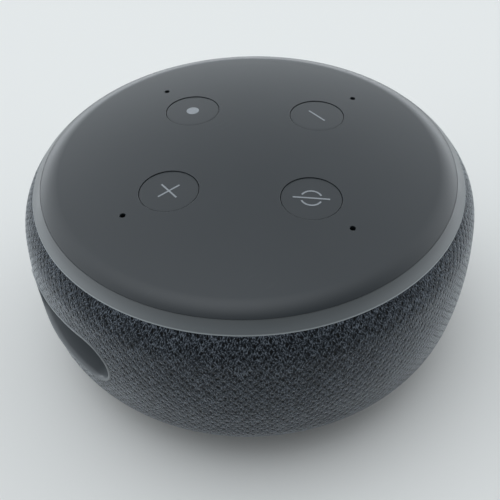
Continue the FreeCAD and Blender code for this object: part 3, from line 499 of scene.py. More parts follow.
STRAND_LEAN = 0.6                   # in radians, to each side
STRAND_SCALE = (9.5, 6.0, 1.0)      # strands to a stitch, across and up it
STRAND_RELIEF, STITCH_RELIEF = 0.13, 0.17      # in millimetres
# The ramp's dark end colours the darkest marl and the painted shade in the stitches' eyes and pits; its pale
# end the palest marl and the painted light on the floats.
YARN_DARK_AND_PAINTED_SHADE = (0.0012, 0.0016, 0.0022, 1.0)
YARN_MIDDLE = (0.0180, 0.0230, 0.0305, 1.0)
YARN_PALE_AND_PAINTED_LIGHT = (0.138, 0.158, 0.184, 1.0)
LINT_COLOUR = (0.45, 0.46, 0.47, 1.0)
SHEEN_HEIGHTS = (1.0, 17.0)         # the sheen grows between these, from its least share to full
SHEEN_LEAST = 0.2
SHEEN_ROUGHNESS = 0.335
SHEEN_TINT = (0.86, 0.89, 0.91, 1.0)


def knit_fabric():
    """Warp knit of dark marled yarn: stitches with painted shade in their eyes and pits and painted light on
    their floats, the twist of their strands, and a little lint.
    """
    finish = Finish("knit_fabric", specular=0.1)
    yarn = finish.node("Attribute", attribute_name="yarn", attribute_type="GEOMETRY")
    weave = finish.node("UVMap", uv_map="weave").outputs[0]
    relief, painted_stitch_shading = stitches(finish, weave)
    strands = []
    for lean in (STRAND_LEAN, -STRAND_LEAN):
        laid = finish.node("Mapping", {
            "Vector": weave, "Rotation": (0.0, 0.0, lean), "Scale": STRAND_SCALE}).outputs[0]
        strands.append(finish.node("TexNoise", {
            "Vector": laid, "Scale": 1.0, "Detail": 2.0}).outputs["Fac"])
    twist = finish.math("MAXIMUM", *strands)
    marl = finish.span(twist, -0.66, 0.60, 0.40, 0.70)
    uneven = finish.span(finish.noise(1.1, detail=1.0), 0.3, 1.45, 0.3, 0.7)
    # the tone: the yarn's own drifts and marl, with the stitches' painted shade and painted light
    tone = finish.math("ADD", finish.math("MULTIPLY_ADD", painted_stitch_shading, uneven, yarn.outputs["Fac"]), marl)
    ramp = finish.node("ValToRGB", {0: tone})
    stops = ramp.color_ramp.elements
    stops[0].color = YARN_DARK_AND_PAINTED_SHADE
    stops[1].color = YARN_PALE_AND_PAINTED_LIGHT
    stops.new(0.5).color = YARN_MIDDLE
    lint = finish.flecks(7.0, reach=0.025, rarity=0.85)
    finish.colour(finish.mix(lint, ramp.outputs[0], LINT_COLOUR))
    finish.roughness(finish.span(twist, 0.78, 0.95))
    raised = finish.math("MULTIPLY", relief, STITCH_RELIEF)
    finish.bump(finish.math("MULTIPLY_ADD", twist, STRAND_RELIEF, raised), 1.0)
    low, high = (level * MM for level in SHEEN_HEIGHTS)
    sheen = finish.span(finish.axes()[2], SHEEN_LEAST, 1.0, low, high)
    finish.tree.links.new(sheen, finish.shader.inputs["Sheen Weight"])
    finish.shader.inputs["Sheen Roughness"].default_value = SHEEN_ROUGHNESS
    finish.shader.inputs["Sheen Tint"].default_value = SHEEN_TINT
    return finish


PAD_COLOUR = (0.55, 0.42, 0.18, 1.0)


def circuit_board():
    """Solder mask over copper: tracks show as a slightly lighter maze, pads as pale dots."""
    finish = Finish("circuit_board")
    colour = COLOURS["circuit_board"]
    tracks = finish.node("TexVoronoi", {"Vector": finish.place, "Scale": 1 / (1.6 * MM)},
                         feature="DISTANCE_TO_EDGE", distance="EUCLIDEAN")
    line = finish.span(tracks.outputs["Distance"], 1.0, 0.0, 0.06, 0.12)
    dots = finish.node("TexVoronoi", {"Vector": finish.place, "Scale": 1 / (2.2 * MM)})
    pad = finish.math("LESS_THAN", dots.outputs["Distance"], 0.14)
    base = finish.mix(line, shade(colour, 1.0), shade(colour, 1.9))
    finish.colour(finish.mix(pad, base, PAD_COLOUR))
    finish.roughness(finish.span(finish.noise(3.0), 0.3, 0.42))
    finish.bump(line, 0.03)
    return finish


def winding(slot, pitch, roughness=0.3, metallic=1.0, axis="Z"):
    """Turns or ribs laid side by side, a pitch in millimetres apart."""
    finish = Finish(slot, metallic=metallic)
    colour = COLOURS[slot]
    turns = finish.node("TexWave", {
        "Vector": finish.place, "Scale": math.pi / (10 * pitch * MM), "Distortion": 0.3},
        wave_type="BANDS", bands_direction=axis).outputs[1]
    finish.colour(finish.mix(turns, shade(colour, 0.5), shade(colour, 1.1)))
    finish.roughness(finish.span(turns, roughness + 0.1, roughness, 0.0, 1.0))
    finish.bump(turns, pitch * 0.3)
    return finish


def woven(slot, thread, roughness=0.85):
    """Plain-woven cloth with threads of a size in millimetres."""
    finish = Finish(slot, specular=0.3)
    colour = COLOURS[slot]
    scale = math.pi / (10 * thread * MM)
    along, across = (
        finish.node("TexWave", {"Vector": finish.place, "Scale": scale, "Distortion": 0.6},
                    bands_direction=axis).outputs[1] for axis in "XY")
    thread_height = finish.math("MULTIPLY", along, across)
    finish.colour(finish.mix(thread_height, shade(colour, 0.6), shade(colour, 1.1)))
    finish.roughness(finish.span(finish.noise(2.0), roughness - 0.06, roughness + 0.06))
    finish.bump(thread_height, thread * 0.4)
    return finish


def lens():
    """Clear moulded lens over phosphor."""
    finish = moulded("led_lens", 0.2, grain=0.3, depth=0.002, mottle=0.12)
    finish.shader.inputs["Coat Weight"].default_value = 0.8
    return finish


def finishes():
    """Every slot's finish."""
    made = [
        cover_plastic(),
        ring_plastic(),
        moulded("button_plastic", 0.42, grain=0.16, depth=0.0035, mottle=0.03, colour=COVER_COLOUR),
        knit_fabric(),
        moulded("housing_plastic", 0.55, depth=0.006),
        port_plastic(),
        moulded("socket_plastic", 0.38, depth=0.002),
        moulded("plunger_plastic", 0.4, mottle=0.03),
        metal("plated_contact", 0.22),
        circuit_board(),
        moulded("chip_black", 0.5, grain=0.1, depth=0.006),
        lens(),
        metal("tinned_can", 0.34, stretch=(1.0, 9.0, 1.0)),
        metal("spreader_metal", 0.5, stretch=(1.0, 1.0, 1.0), grain=0.2),
        metal("screw_steel", 0.38),
        rubber("gasket_rubber", 0.9, grain=0.35),
        rubber("foot_rubber", 0.78),
        moulded("label_film", 0.4, grain=0.08, depth=0.001, mottle=0.03),
        winding("ribbon_film", 0.5, roughness=0.35, metallic=0.0, axis="X"),
        rubber("wire_jacket", 0.5, grain=0.2),
        metal("motor_steel", 0.36, stretch=(1.0, 1.0, 6.0)),
        metal("magnet_nickel", 0.18, stretch=(1.0, 1.0, 2.0)),
        winding("coil_copper", 0.12),
        moulded("cone_paper", 0.8, grain=0.4, depth=0.02, mottle=0.2, specular=0.3),
        woven("spider_cloth", 0.5),
    ]
    return {finish.slot: finish.material for finish in made}


FINISHES = finishes()
ICON_INK = icon_print().material


def flex_spider():
    """The driver's spider, as its own copy of the CAD node's mesh with the spider cloth's finish."""
    mesh = frame["nodes"]["spider"].data.copy()
    mesh.materials.clear()
    mesh.materials.append(FINISHES["spider_cloth"])
    spider = add_object("spider_ring", mesh)
    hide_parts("spider")
    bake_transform(spider)


def finish_cad_nodes():
    """Gives every CAD node that still shows its slot's finish."""
    for node in frame["nodes"].values():
        for holder in node.material_slots:
            name = holder.material.name.split(".")[0]
            holder.material = FINISHES[name]


# ---------------------------------------------------------------- top cover and ring

MIC_SHIFT = (0.12, -0.39)      # how far these microphone holes stand off the CAD's, fitted to the photograph
BUTTON_NAMES = ("action", "volume_up", "mic_mute", "volume_down")
BUTTON_PLACES = around(4, BUTTON_CIRCLE)
MIC_PLACES = [(x + MIC_SHIFT[0], y + MIC_SHIFT[1]) for x, y in around(4, MIC_CIRCLE)]
CROWN_END = CROWN_RADIUS * math.sin(math.radians(CROWN_ANGLE))
EDGE_CENTRE = (CROWN_END - EDGE_RADIUS * math.sin(math.radians(CROWN_ANGLE)),
               crown_height(CROWN_END, 0) - EDGE_RADIUS * math.cos(math.radians(CROWN_ANGLE)))
RIM_RADIUS = EDGE_CENTRE[0] + EDGE_RADIUS * math.sin(math.radians(EDGE_ANGLE))
RING_INNER = RIM_RADIUS + RING_GAP

COVER_POINTS, RING_POINTS, CAP_POINTS = 288, 360, 128      # points in one loop
BUTTON_HOLE_POINTS, MIC_HOLE_POINTS = 128, 32
FACE_GAP, UNDERSIDE_GAP = 2.0, 4.0     # between the points spread over the cover's face and its underside
CORNER = 0.1                           # small bevels, out of sight
UNDERSIDE_BEVEL = 1
RING_SHARP = 40                        # edges past this angle stay crisp


def ring_points(outer, gap, holes):
    """Places spread over a disc in rings, none of them close to a hole."""
    places = [(0.0, 0.0)]
    for step in range(1, int(outer / gap)):
        places += around(6 * step, step * gap, start=7.0 * step)
    return [p for p in places if all(math.dist(p, centre) > radius + 0.6 * gap for centre, radius in holes)]


def make_cover():
    """The crowned plate with its rolled edge and skirt, and its button and microphone holes."""
    shell = Shell()
    holes = [(p, BUTTON_HOLE_RADIUS + HOLE_EDGE, BUTTON_HOLE_POINTS) for p in BUTTON_PLACES]
    holes += [(p, MIC_HOLE_RADIUS + HOLE_EDGE, MIC_HOLE_POINTS) for p in MIC_PLACES]

    edge = arc(EDGE_CENTRE, EDGE_RADIUS, 90 - CROWN_ANGLE, 90 - EDGE_ANGLE, 18)
    skirt_inner = RIM_RADIUS - SKIRT_THICKNESS
    section = edge + [(RIM_RADIUS, edge[-1][1] - 0.12), (RIM_RADIUS, SKIRT_BOTTOM + CORNER),
                      (RIM_RADIUS - CORNER, SKIRT_BOTTOM), (skirt_inner, SKIRT_BOTTOM),
                      (skirt_inner, COVER_UNDERSIDE - UNDERSIDE_BEVEL),
                      (skirt_inner - UNDERSIDE_BEVEL, COVER_UNDERSIDE)]
    outline = shell.turn(section, COVER_POINTS, closed=False)

    top_loops, under_loops = [outline[0]], [outline[-1]]
    for centre, radius, count in holes:
        rounding = arc((radius, -HOLE_EDGE), HOLE_EDGE, 90, 180, 4)
        loops = [shell.add([(x, y, crown_height(x, y) + drop) for x, y in around(count, r, centre=centre)])
                 for r, drop in rounding]
        wall = around(count, radius - HOLE_EDGE, centre=centre)
        loops.append(shell.add([(x, y, COVER_UNDERSIDE) for x, y in wall]))
        shell.bands(loops)
        top_loops.append(loops[0])
        under_loops.append(loops[-1])

    circles = [(centre, radius) for centre, radius, _ in holes]

    def outside_holes(inset):
        return lambda x, y: all(math.dist((x, y), centre) > radius - inset for centre, radius in circles)

    spread = ring_points(CROWN_END, FACE_GAP, circles)
    for centre, radius, count in holes:
        spread += around(count, radius + HOLE_SUPPORT, centre=centre)
    shell.fill(top_loops, spread, outside_holes(HOLE_EDGE / 2), crown_height)
    spread = ring_points(skirt_inner - UNDERSIDE_BEVEL, UNDERSIDE_GAP, circles)
    shell.fill(under_loops, spread, outside_holes(HOLE_EDGE * 1.5), lambda x, y: COVER_UNDERSIDE)
    place("cover_plate", shell.mesh("cover_plate"), "case", "cover_plastic", "top_cover")


def make_ring():
    """The light diffuser: a crowned sloping face, rolled over at its lower edge, and a leg inside."""
    shell = Shell()
    inner = Vector((RING_INNER, RING_TOP))
    outer = Vector((WALL[0, 1] + RING_OVERHANG, WALL[0, 2]))
    slope = math.degrees(math.atan2(inner.y - outer.y, outer.x - inner.x))
    face = (outer - inner).normalized()
    outward = Vector((-face.y, face.x))
    roll_start = (outer - inner).length - RING_ROLL * math.tan(math.radians((90 - slope) / 2))
    section = arc(inner + Vector((RING_SOFTENING, -RING_SOFTENING)), RING_SOFTENING, 180, 90 - slope + 20, 4)
    for t in np.linspace(0.04, 0.97, 12):
        rise = RING_CROWN * math.sin(math.pi * t)
        section.append(tuple(inner + face * (roll_start * t) + outward * rise))
    roll_centre = inner + face * roll_start - outward * RING_ROLL
    section += arc(roll_centre, RING_ROLL, 90 - slope - 3, -50, 9)
    leg_top = RING_SEAT[1] + RING_LEG_HEIGHT
    section += [(RING_SEAT[0], RING_SEAT[1]), (RING_LEG_RADIUS, RING_SEAT[1]),
                (RING_LEG_RADIUS, leg_top), (RING_INNER, leg_top)]
    shell.turn(section, RING_POINTS)
    place("ring_lens", shell.mesh("ring_lens", RING_SHARP), "case", "ring_plastic", "light_ring")


# ---------------------------------------------------------------- buttons

def cap_height(x, y):
    """The height of a button's face over a place: it follows the crown, a little lower."""
    return crown_height(x, y) - BUTTON_SINK


def make_button(name, centre):
    """A cap that follows the cover's crown, with its hidden flange and stem."""
    shell = Shell()
    level = cap_height(*centre)
    flange_radius, flange_bottom, flange_top = 7.4, 39.3, 40.3
    stem_radius, stem_bottom = 1.6, 38.6
    face = [(r, level) for r in (0.6, 1.5, 2.5, 3.5, 4.5, 5.2)]
    face += arc((BUTTON_RADIUS - BUTTON_EDGE, level - BUTTON_EDGE), BUTTON_EDGE, 90, 0, 6)
    low = [(BUTTON_RADIUS, flange_top), (flange_radius - CORNER, flange_top),
           (flange_radius, flange_top - CORNER), (flange_radius, flange_bottom),
           (stem_radius, flange_bottom), (stem_radius, stem_bottom)]
    shaped = [shell.add([(x, y, z + cap_height(x, y) - level)
                         for x, y in around(CAP_POINTS, r, centre=centre)]) for r, z in face]
    plain = [shell.add([(x, y, z) for x, y in around(CAP_POINTS, r, centre=centre)]) for r, z in low]
    shell.bands(shaped + plain)
    shell.cap(shaped[0])
    shell.cap(plain[-1])
    place(f"{name}_cap", shell.mesh(f"{name}_cap"), f"{name}_body", "button_plastic", f"{name}_button")


PRINT_HEIGHT = 0.02
STROKE = 0.36


def stroke(shell, path):
    """One printed line along a path on a cap's face."""
    path = [Vector(p) for p in path]
    sides = []
    for i, here in enumerate(path):
        before, after = path[max(i - 1, 0)], path[min(i + 1, len(path) - 1)]
        across = (after - before).normalized().orthogonal() * STROKE / 2
        sides.append((here + across, here - across))
    left, right = [s[0] for s in sides], [s[1] for s in sides]
    outline = left + right[::-1]
    top = shell.add([(p.x, p.y, cap_height(p.x, p.y) + PRINT_HEIGHT) for p in outline])
    bottom = shell.add([(p.x, p.y, cap_height(p.x, p.y) - PRINT_HEIGHT) for p in outline])
    shell.bridge(top, bottom)
    count = len(path)
    for level in (top, bottom):
        for i in range(count - 1):
            shell.faces.append((level[i], level[i + 1], level[-2 - i], level[-1 - i]))


def line(start, end, steps=8):
    """Places along a straight line."""
    return [tuple(Vector(start).lerp(Vector(end), i / steps)) for i in range(steps + 1)]


def make_icon(name, centre):
    """The print on one cap: a dot, a plus, a broken ring with a bar through it, or a minus."""
    shell = Shell()
    x, y = centre
    if name == "action":
        radius = 1.42
        loops = [shell.add([(px, py, cap_height(px, py) + lift) for px, py in around(48, r, centre=centre)])
                 for r, lift in ((radius * 0.5, PRINT_HEIGHT), (radius - 0.03, PRINT_HEIGHT),
                                 (radius, 0.0), (radius, -PRINT_HEIGHT))]
        shell.bands(loops)
        shell.cap(loops[0])
        shell.cap(loops[-1])
    elif name == "volume_up":
        half = 2.6
        stroke(shell, line((x - half, y), (x + half, y)))
        for side in (1, -1):
            stroke(shell, line((x, y + side * STROKE / 2), (x, y + side * half)))
    elif name == "volume_down":
        half = 2.55
        stroke(shell, line((x - half, y), (x + half, y)))
    else:
        half, ring_radius, gap = 3.65, 2.05, 24
        lean = Vector((1, 1)).normalized()
        stroke(shell, line(Vector(centre) - lean * half, Vector(centre) + lean * half))
        for start in (45, 225):
            stroke(shell, arc(centre, ring_radius, start + gap, start + 180 - gap, 24))
    icon = place(f"{name}_icon", shell.mesh(f"{name}_icon"), f"{name}_body", "button_plastic")
    icon.data.materials[0] = ICON_INK


# ---------------------------------------------------------------- knitted sleeve

COLUMNS_PER_STITCH = 8
ROWS_PER_STITCH = 8
STITCHES_AROUND = round(math.tau * BODY_RADIUS / STITCH_WIDTH)
SKEW_STITCHES = 5      # how many stitches the courses climb in one turn round the sleeve
KNIT_RELIEF = 0.18     # the share of the stitches' height that the mesh has
KNIT_SINK = 0.02       # how far the knit's ground lies below the wall's face
KNIT_HEM = 0.5         # the relief fades over this strip at each edge
BACK_ROWS = 15
# Random drifts: how strong each is, the size of its patches in millimetres, and its seed.
WANDER_ACROSS = (0.12, 1.0, 3)
WANDER_UP = (0.14, 1.0, 4)
TONE_DRIFTS = ((0.07, 0.8, 5), (0.13, 0.42, 7))
MIDDLE_TONE, HIGHEST_TONE = 0.5, 1.2


def knit(x, y):
    """The height of the knit at places in millimetres round and up the sleeve."""
    height = np.zeros_like(x)
    for (cx, cy), (sx, sy), power, lean, rise, _ in STITCH_PARTS:
        for half in (0.0, 0.5):
            across = x / STITCH_WIDTH + half
            up = (y - cy) / STITCH_HEIGHT + half
            dy = (up - np.round(up)) * STITCH_HEIGHT
            dx = np.abs(across - np.round(across)) * STITCH_WIDTH - cx + lean * dy
            height += rise * np.exp(-(dx / sx) ** 2 - np.abs(dy / sy) ** power)
    return height


def drift(turn, up, strength, size, seed):
    """Smooth random values of a strength, about one for each patch of a size in millimetres."""
    count = round(math.tau * BODY_RADIUS / size)
    values = np.random.default_rng(seed).normal(0, 1, (count, int(WALL_LENGTH / size) + 30))
    across, above = turn * count / math.tau, up / size
    column, row = np.floor(across).astype(int), np.floor(above).astype(int)
    fx, fy = across - column, above - row
    fx, fy = fx * fx * (3 - 2 * fx), fy * fy * (3 - 2 * fy)
    rows = values.shape[1]

    def at(i, j):
        return values[(column + i) % count, (row + j) % rows]

    near = at(0, 0) * (1 - fx) + at(1, 0) * fx
    far = at(0, 1) * (1 - fx) + at(1, 1) * fx
    return strength * (near * (1 - fy) + far * fy)


def inside_port(x, z, radius):
    """How far a place, seen from behind, is inside the port's outline of a radius."""
    over = np.maximum(np.abs(x) - PORT_HALF_LENGTH, 0)
    return radius - np.hypot(over, z - PORT_HEIGHT)


def snap_to_port(points, chosen, radius):
    """Moves the chosen points, seen from behind, onto the port's outline."""
    x, y, z = points[chosen].T
    middle = np.clip(x, -PORT_HALF_LENGTH, PORT_HALF_LENGTH)
    dx, dz = x - middle, z - PORT_HEIGHT
    share = radius / np.hypot(dx, dz)
    new_x, new_z = middle + dx * share, PORT_HEIGHT + dz * share
    depth = np.hypot(x, y) - wall_radius(z)
    new_y = np.sqrt((wall_radius(new_z) + depth) ** 2 - new_x ** 2)
    points[chosen] = np.stack([new_x, new_y, new_z], axis=1)


def knit_sheet():
    """The sleeve's points, its faces, and each outer point's tone and place in the knit."""
    columns = STITCHES_AROUND * COLUMNS_PER_STITCH
    row_step = STITCH_HEIGHT / ROWS_PER_STITCH
    rows = round(WALL_LENGTH / row_step) + 1
    along = np.linspace(0, WALL_LENGTH, rows)
    angle = np.linspace(0, math.tau, columns, endpoint=False)
    turn, down = np.meshgrid(angle, along)
    x = turn * STITCHES_AROUND * STITCH_WIDTH / math.tau
    y = -down + turn * SKEW_STITCHES * STITCH_HEIGHT / math.tau
    x = x + drift(turn, down, *WANDER_ACROSS)
    y = y + drift(turn, down, *WANDER_UP)
    tone = MIDDLE_TONE
    for settings in TONE_DRIFTS:
        tone = tone + drift(turn, down, *settings)
    fade = np.clip(np.minimum(down, WALL_LENGTH - down) / KNIT_HEM, 0, 1)
    height = KNIT_RELIEF * knit(x, y) * fade

    radius = np.interp(down, WALL[:, 0], WALL[:, 1])
    level = np.interp(down, WALL[:, 0], WALL[:, 2])
    normal = np.interp(down, WALL[:, 0], WALL[:, 3])
    outer_r = radius + (height - KNIT_SINK) * np.cos(normal)
    outer_z = level + (height - KNIT_SINK) * np.sin(normal)
    outer = np.stack([outer_r * np.cos(turn), outer_r * np.sin(turn), outer_z], axis=2)

    back_rows = np.linspace(rows - 1, 0, BACK_ROWS).round().astype(int)
    back = FABRIC_THICKNESS - KNIT_SINK
    inner_r = (radius - back * np.cos(normal))[back_rows]
    inner_z = (level - back * np.sin(normal))[back_rows]
    inner = np.stack([inner_r * np.cos(turn[back_rows]), inner_r * np.sin(turn[back_rows]), inner_z], axis=2)

    grid = np.concatenate([outer, inner])
    total = len(grid)
    points = grid.reshape(-1, 3)
    index = np.arange(total * columns).reshape(total, columns)
    nxt = np.roll(index, -1, axis=1)
    below, below_nxt = np.roll(index, -1, axis=0), np.roll(nxt, -1, axis=0)
    quads = np.stack([index, below, below_nxt, nxt], axis=2)

    opening = PORT_RADIUS + PORT_LIP
    centre = points[quads].mean(axis=2)
    hollow = (centre[..., 1] > 0) & (inside_port(centre[..., 0], centre[..., 2], opening) > 0)
    kept = quads[~hollow].reshape(-1, 4)
    snap_to_port(points, np.intersect1d(quads[hollow].ravel(), kept.ravel()), opening)
    return points, kept, tone, x, y


def make_sleeve():
    """The knit: one closed sheet, with the stitches raised on its outer face."""
    points, kept, tone, x, y = knit_sheet()
    shade_of = np.full(len(points), MIDDLE_TONE)
    shade_of[:tone.size] = tone.ravel()
    mesh = bpy.data.meshes.new("knit_sleeve")
    mesh.from_pydata(points * MM, [], kept)
    stitch_x = np.zeros(len(points))
    stitch_y = np.zeros(len(points))
    stitch_x[:x.size] = (x / STITCH_WIDTH).ravel()
    stitch_y[:y.size] = (y / STITCH_HEIGHT).ravel()
    corners = np.zeros(len(mesh.loops), dtype=np.int64)
    mesh.loops.foreach_get("vertex_index", corners)
    corner_x, corner_y = stitch_x[corners].reshape(-1, 4), stitch_y[corners].reshape(-1, 4)
    across_seam = corner_x.max(axis=1) - corner_x.min(axis=1) > STITCHES_AROUND / 2
    wrap = across_seam[:, None] & (corner_x < STITCHES_AROUND / 2)
    corner_x = corner_x + wrap * STITCHES_AROUND
    corner_y = corner_y + wrap * SKEW_STITCHES
    weave = mesh.uv_layers.new(name="weave")
    weave.data.foreach_set("uv", np.stack([corner_x, corner_y], axis=2).astype(np.float32).ravel())
    held = mesh.attributes.new("yarn", "FLOAT", "POINT")
    held.data.foreach_set("value", np.clip(shade_of, 0, HIGHEST_TONE).astype(np.float32))

    work = bmesh.new()
    work.from_mesh(mesh)
    bmesh.ops.delete(work, geom=[v for v in work.verts if not v.link_faces], context="VERTS")
    work.to_mesh(mesh)
    work.free()
    mesh.shade_smooth()
    sleeve = place("knit_sleeve", mesh, "case", "knit_fabric", "fabric_sleeve")


# ---------------------------------------------------------------- rear port

def stadium(radius, count=48):
    """Places round the port's outline, seen from behind, as (x, z)."""
    right = arc((PORT_HALF_LENGTH, PORT_HEIGHT), radius, -90, 90, count)
    left = arc((-PORT_HALF_LENGTH, PORT_HEIGHT), radius, 90, 270, count)
    runs = 16
    straight = [PORT_HALF_LENGTH - 2 * PORT_HALF_LENGTH * i / runs for i in range(1, runs)]
    top = [(x, PORT_HEIGHT + radius) for x in straight]
    low = [(-x, PORT_HEIGHT - radius) for x in straight]
    return right + top + left + low


def on_wall(place_xz, proud):
    """A point on the back of the wall, standing proud of it by some millimetres."""
    x, z = place_xz
    return (x, math.sqrt((wall_radius(z) + proud) ** 2 - x * x), z)


LIP_FOOT = -0.35       # the lip's two ends, in millimetres from the wall's face
RECESS_START = -0.9
SKIRT_DEPTH = 0.6      # how far the skirt goes in past the fabric
NOSE_POINTS = 64


def make_port():
    """The port's bezel: a rounded lip over the knit's cut edge, a smooth recess and its floor."""
    shell = Shell()
    outer = PORT_RADIUS + PORT_LIP
    lap = 0.1
    lip = [(outer + lap, LIP_FOOT), (outer + lap, 0.04), (outer + lap - 0.07, 0.14), (outer - 0.08, 0.19),
           (outer - 0.2, 0.18), (outer - 0.34, 0.11), (outer - 0.48, -0.04), (PORT_RADIUS, -0.28),
           (PORT_RADIUS - 0.02, RECESS_START)]
    loops = [shell.add([on_wall(p, rise) for p in stadium(radius)]) for radius, rise in lip]
    soft = 0.5
    for depth in (0.35, 0.7):
        loops.append(shell.add([
            (x, PORT_FLOOR + soft + (on_wall((x, z), RECESS_START)[1] - PORT_FLOOR - soft) * (1 - depth), z)
            for x, z in stadium(PORT_RADIUS)]))
    for inset, rise in arc((soft, soft), soft, 180, 270, 4):
        loops.append(shell.add([(x, PORT_FLOOR + rise, z) for x, z in stadium(PORT_RADIUS - inset)]))
    shell.bands(loops)
    floor = loops[-1]

    back = shell.add([(x, PORT_BACK, z) for x, z in stadium(outer)])
    skirt = shell.add([on_wall(p, -FABRIC_THICKNESS - SKIRT_DEPTH) for p in stadium(outer)])
    step = shell.add([on_wall(p, LIP_FOOT) for p in stadium(outer)])
    shell.bands([loops[0], step, skirt, back])

    # the floor's holes are cut in a view from behind, so the filling works on (x, z)
    flat = Shell()
    flat_floor = flat.add([(shell.points[i][0], shell.points[i][2], 0.0) for i in floor])
    flat_back = flat.add([(shell.points[i][0], shell.points[i][2], 1.0) for i in back])
    noses = [((JACK_OFFSET, PORT_HEIGHT), DC_NOSE_RADIUS + NOSE_GAP),
             ((-JACK_OFFSET, PORT_HEIGHT), AUX_NOSE_RADIUS + NOSE_GAP)]
    front_holes, back_holes = (
        [flat.add([(x, z, level) for x, z in around(NOSE_POINTS, r, centre=c)]) for c, r in noses]
        for level in (0.0, 1.0))

    def solid(x, z):
        return all(math.dist((x, z), centre) > radius * 0.995 for centre, radius in noses)

    flat.fill([flat_floor] + front_holes, [], solid, lambda x, z: 0.0)
    flat.fill([flat_back] + back_holes, [], solid, lambda x, z: 1.0)
    for front, behind in zip(front_holes, back_holes):
        flat.bridge(front, behind)
    levels = {0.0: PORT_FLOOR, 1.0: PORT_BACK}
    joined = dict(zip(flat_floor + flat_back, floor + back))
    for number, (x, z, level) in enumerate(flat.points):
        if number not in joined:
            joined[number] = shell.add([(x, levels[level], z)])[0]
    shell.faces += [tuple(joined[i] for i in face) for face in flat.faces]
    place("port_surround", shell.mesh("port_surround"), "case", "bezel_plastic", "port_bezel")


# ---------------------------------------------------------------- floor, light and camera

VIEW_TURN = -127.41        # the photograph's view, turned about the speaker's axis
VIEW_PITCH, VIEW_YAW, VIEW_ROLL = 45.413, -0.109, -2.129
VIEW_PLACE = (0.0, -112.845, 127.097)
VIEW_LENS = 47.394
VIEW_SENSOR = 36.0
VIEW_NEAREST = 0.005       # in metres
FLOOR_COLOUR = (0.79, 0.783, 0.76, 1.0)


def make_camera():
    """The camera, at the photograph's viewing angle."""
    pitch, yaw, roll = (math.radians(a) for a in (VIEW_PITCH, VIEW_YAW, VIEW_ROLL))
    forward = Vector((math.sin(yaw) * math.cos(pitch), math.cos(yaw) * math.cos(pitch), -math.sin(pitch)))
    level = Vector((math.cos(yaw), -math.sin(yaw), 0.0))
    upright = level.cross(forward)
    right = level * math.cos(roll) + upright * math.sin(roll)
    up = upright * math.cos(roll) - level * math.sin(roll)
    turned = Matrix.Rotation(math.radians(VIEW_TURN), 4, "Z")
    basis = Matrix((right, up, -forward)).transposed().to_4x4()
    data = bpy.data.cameras.new("camera")
    data.lens = VIEW_LENS
    data.sensor_width = VIEW_SENSOR
    data.clip_start = VIEW_NEAREST
    camera = add_object("camera", data)
    camera.matrix_world = turned @ Matrix.Translation(Vector(VIEW_PLACE) * MM) @ basis
    bpy.context.scene.camera = camera


def from_view(side, depth, rise=0.0):
    """A direction given as the photograph sees it: to the right, away from the viewer, and up."""
    return (Matrix.Rotation(math.radians(VIEW_TURN), 3, "Z") @ Vector((side, depth, rise))).normalized()


def make_floor():
    """A plain pale surface, which isn't part of the speaker."""
    half = 3.0
    mesh = bpy.data.meshes.new("floor")
    mesh.from_pydata([(-half, -half, 0), (half, -half, 0), (half, half, 0), (-half, half, 0)], [],
                     [(0, 1, 2, 3)])
    floor = add_object("floor", mesh)
    material = bpy.data.materials.new("floor_paper")
    material.use_nodes = True
    shader = material.node_tree.nodes["Principled BSDF"]
    shader.inputs["Base Color"].default_value = FLOOR_COLOUR
    shader.inputs["Roughness"].default_value = 0.9
    shader.inputs["Specular IOR Level"].default_value = 0.0
    mesh.materials.append(material)


# The room's light: a little from all round, a bright band round the horizon beyond the speaker, and soft
# panels given by their direction, tightness and strength.
ROOM_BASE = 0.03
ROOM_COLOUR = (0.93, 0.985, 1.03, 1.0)
HORIZON_BAND = {"strength": 4.8, "rise": 0.11, "spread": 0.15, "power": 2.0}
BACKDROP = 0.82


def panel_towards(elevation, azimuth):
    """A direction from its height over the horizon and its turn to the right of straight ahead."""
    elevation, azimuth = math.radians(elevation), math.radians(azimuth)
    return from_view(math.cos(elevation) * math.sin(azimuth), math.cos(elevation) * math.cos(azimuth),
                     math.sin(elevation))


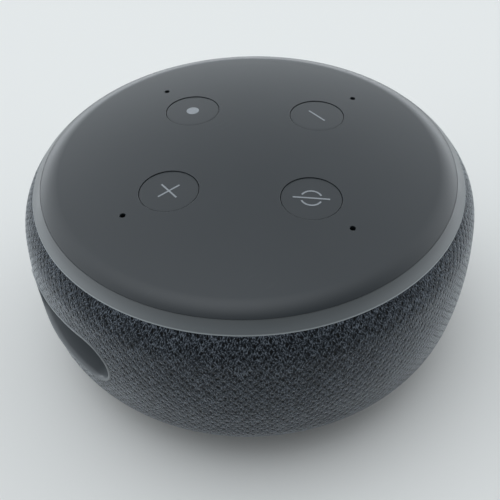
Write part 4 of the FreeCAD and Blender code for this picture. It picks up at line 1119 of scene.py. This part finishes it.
SOFT_PANELS = (
    (panel_towards(20, -35), 13, 0.95),      # beyond the speaker, at each side
    (panel_towards(20, 35), 13, 0.62),
    (panel_towards(38, -70), 11, 1.4),       # beside it
    (panel_towards(32, 62), 11, 1.6),
    (panel_towards(8, -110), 11, 2.0),       # low, off to each side and a little nearer than the speaker
    (panel_towards(8, 110), 11, 1.25),
    (panel_towards(80, -40), 12, 2.65),      # overhead
    (panel_towards(60, 0), 18, 0.35),        # high beyond it
)


def make_light():
    """A soft room lit from beyond the speaker, from both sides and from overhead."""
    world = bpy.data.worlds.new("room")
    bpy.context.scene.world = world
    world.use_nodes = True
    room = Nodes(world.node_tree)
    calc = room.math
    direction = room.node("TexCoord").outputs["Generated"]

    def along(axis):
        return room.node("VectorMath", {0: direction, 1: axis}, operation="DOT_PRODUCT").outputs["Value"]

    rise = calc("DIVIDE", calc("SUBTRACT", along((0, 0, 1)), HORIZON_BAND["rise"]), HORIZON_BAND["spread"])
    band = calc("EXPONENT", calc("MULTIPLY", calc("MULTIPLY", rise, rise), -1.0))
    ahead = calc("MAXIMUM", calc("MULTIPLY_ADD", along(from_view(0, 1)), 0.5, 0.5), 0.0)
    window = calc("POWER", ahead, HORIZON_BAND["power"])
    total = calc("MULTIPLY_ADD", calc("MULTIPLY", band, window), HORIZON_BAND["strength"], ROOM_BASE)
    for towards, tightness, strength in SOFT_PANELS:
        fall = calc("EXPONENT", calc("MULTIPLY_ADD", along(towards), tightness, -tightness))
        total = calc("MULTIPLY_ADD", fall, strength, total)

    # looked at directly, the room is a plain pale backdrop
    seen = room.node("LightPath").outputs["Is Camera Ray"]
    total = calc("MULTIPLY_ADD", seen, calc("SUBTRACT", BACKDROP, total), total)
    background = room.tree.nodes["Background"]
    background.inputs["Color"].default_value = ROOM_COLOUR
    room.tree.links.new(total, background.inputs["Strength"])
    bpy.context.scene.view_settings.view_transform = "Standard"


# ---------------------------------------------------------------- everything

finish_cad_nodes()
make_cover()
make_ring()
for button_name, button_place in zip(BUTTON_NAMES, BUTTON_PLACES):
    make_button(button_name, button_place)
    make_icon(button_name, button_place)
make_sleeve()
make_port()
flex_spider()
make_floor()
make_light()
make_camera()
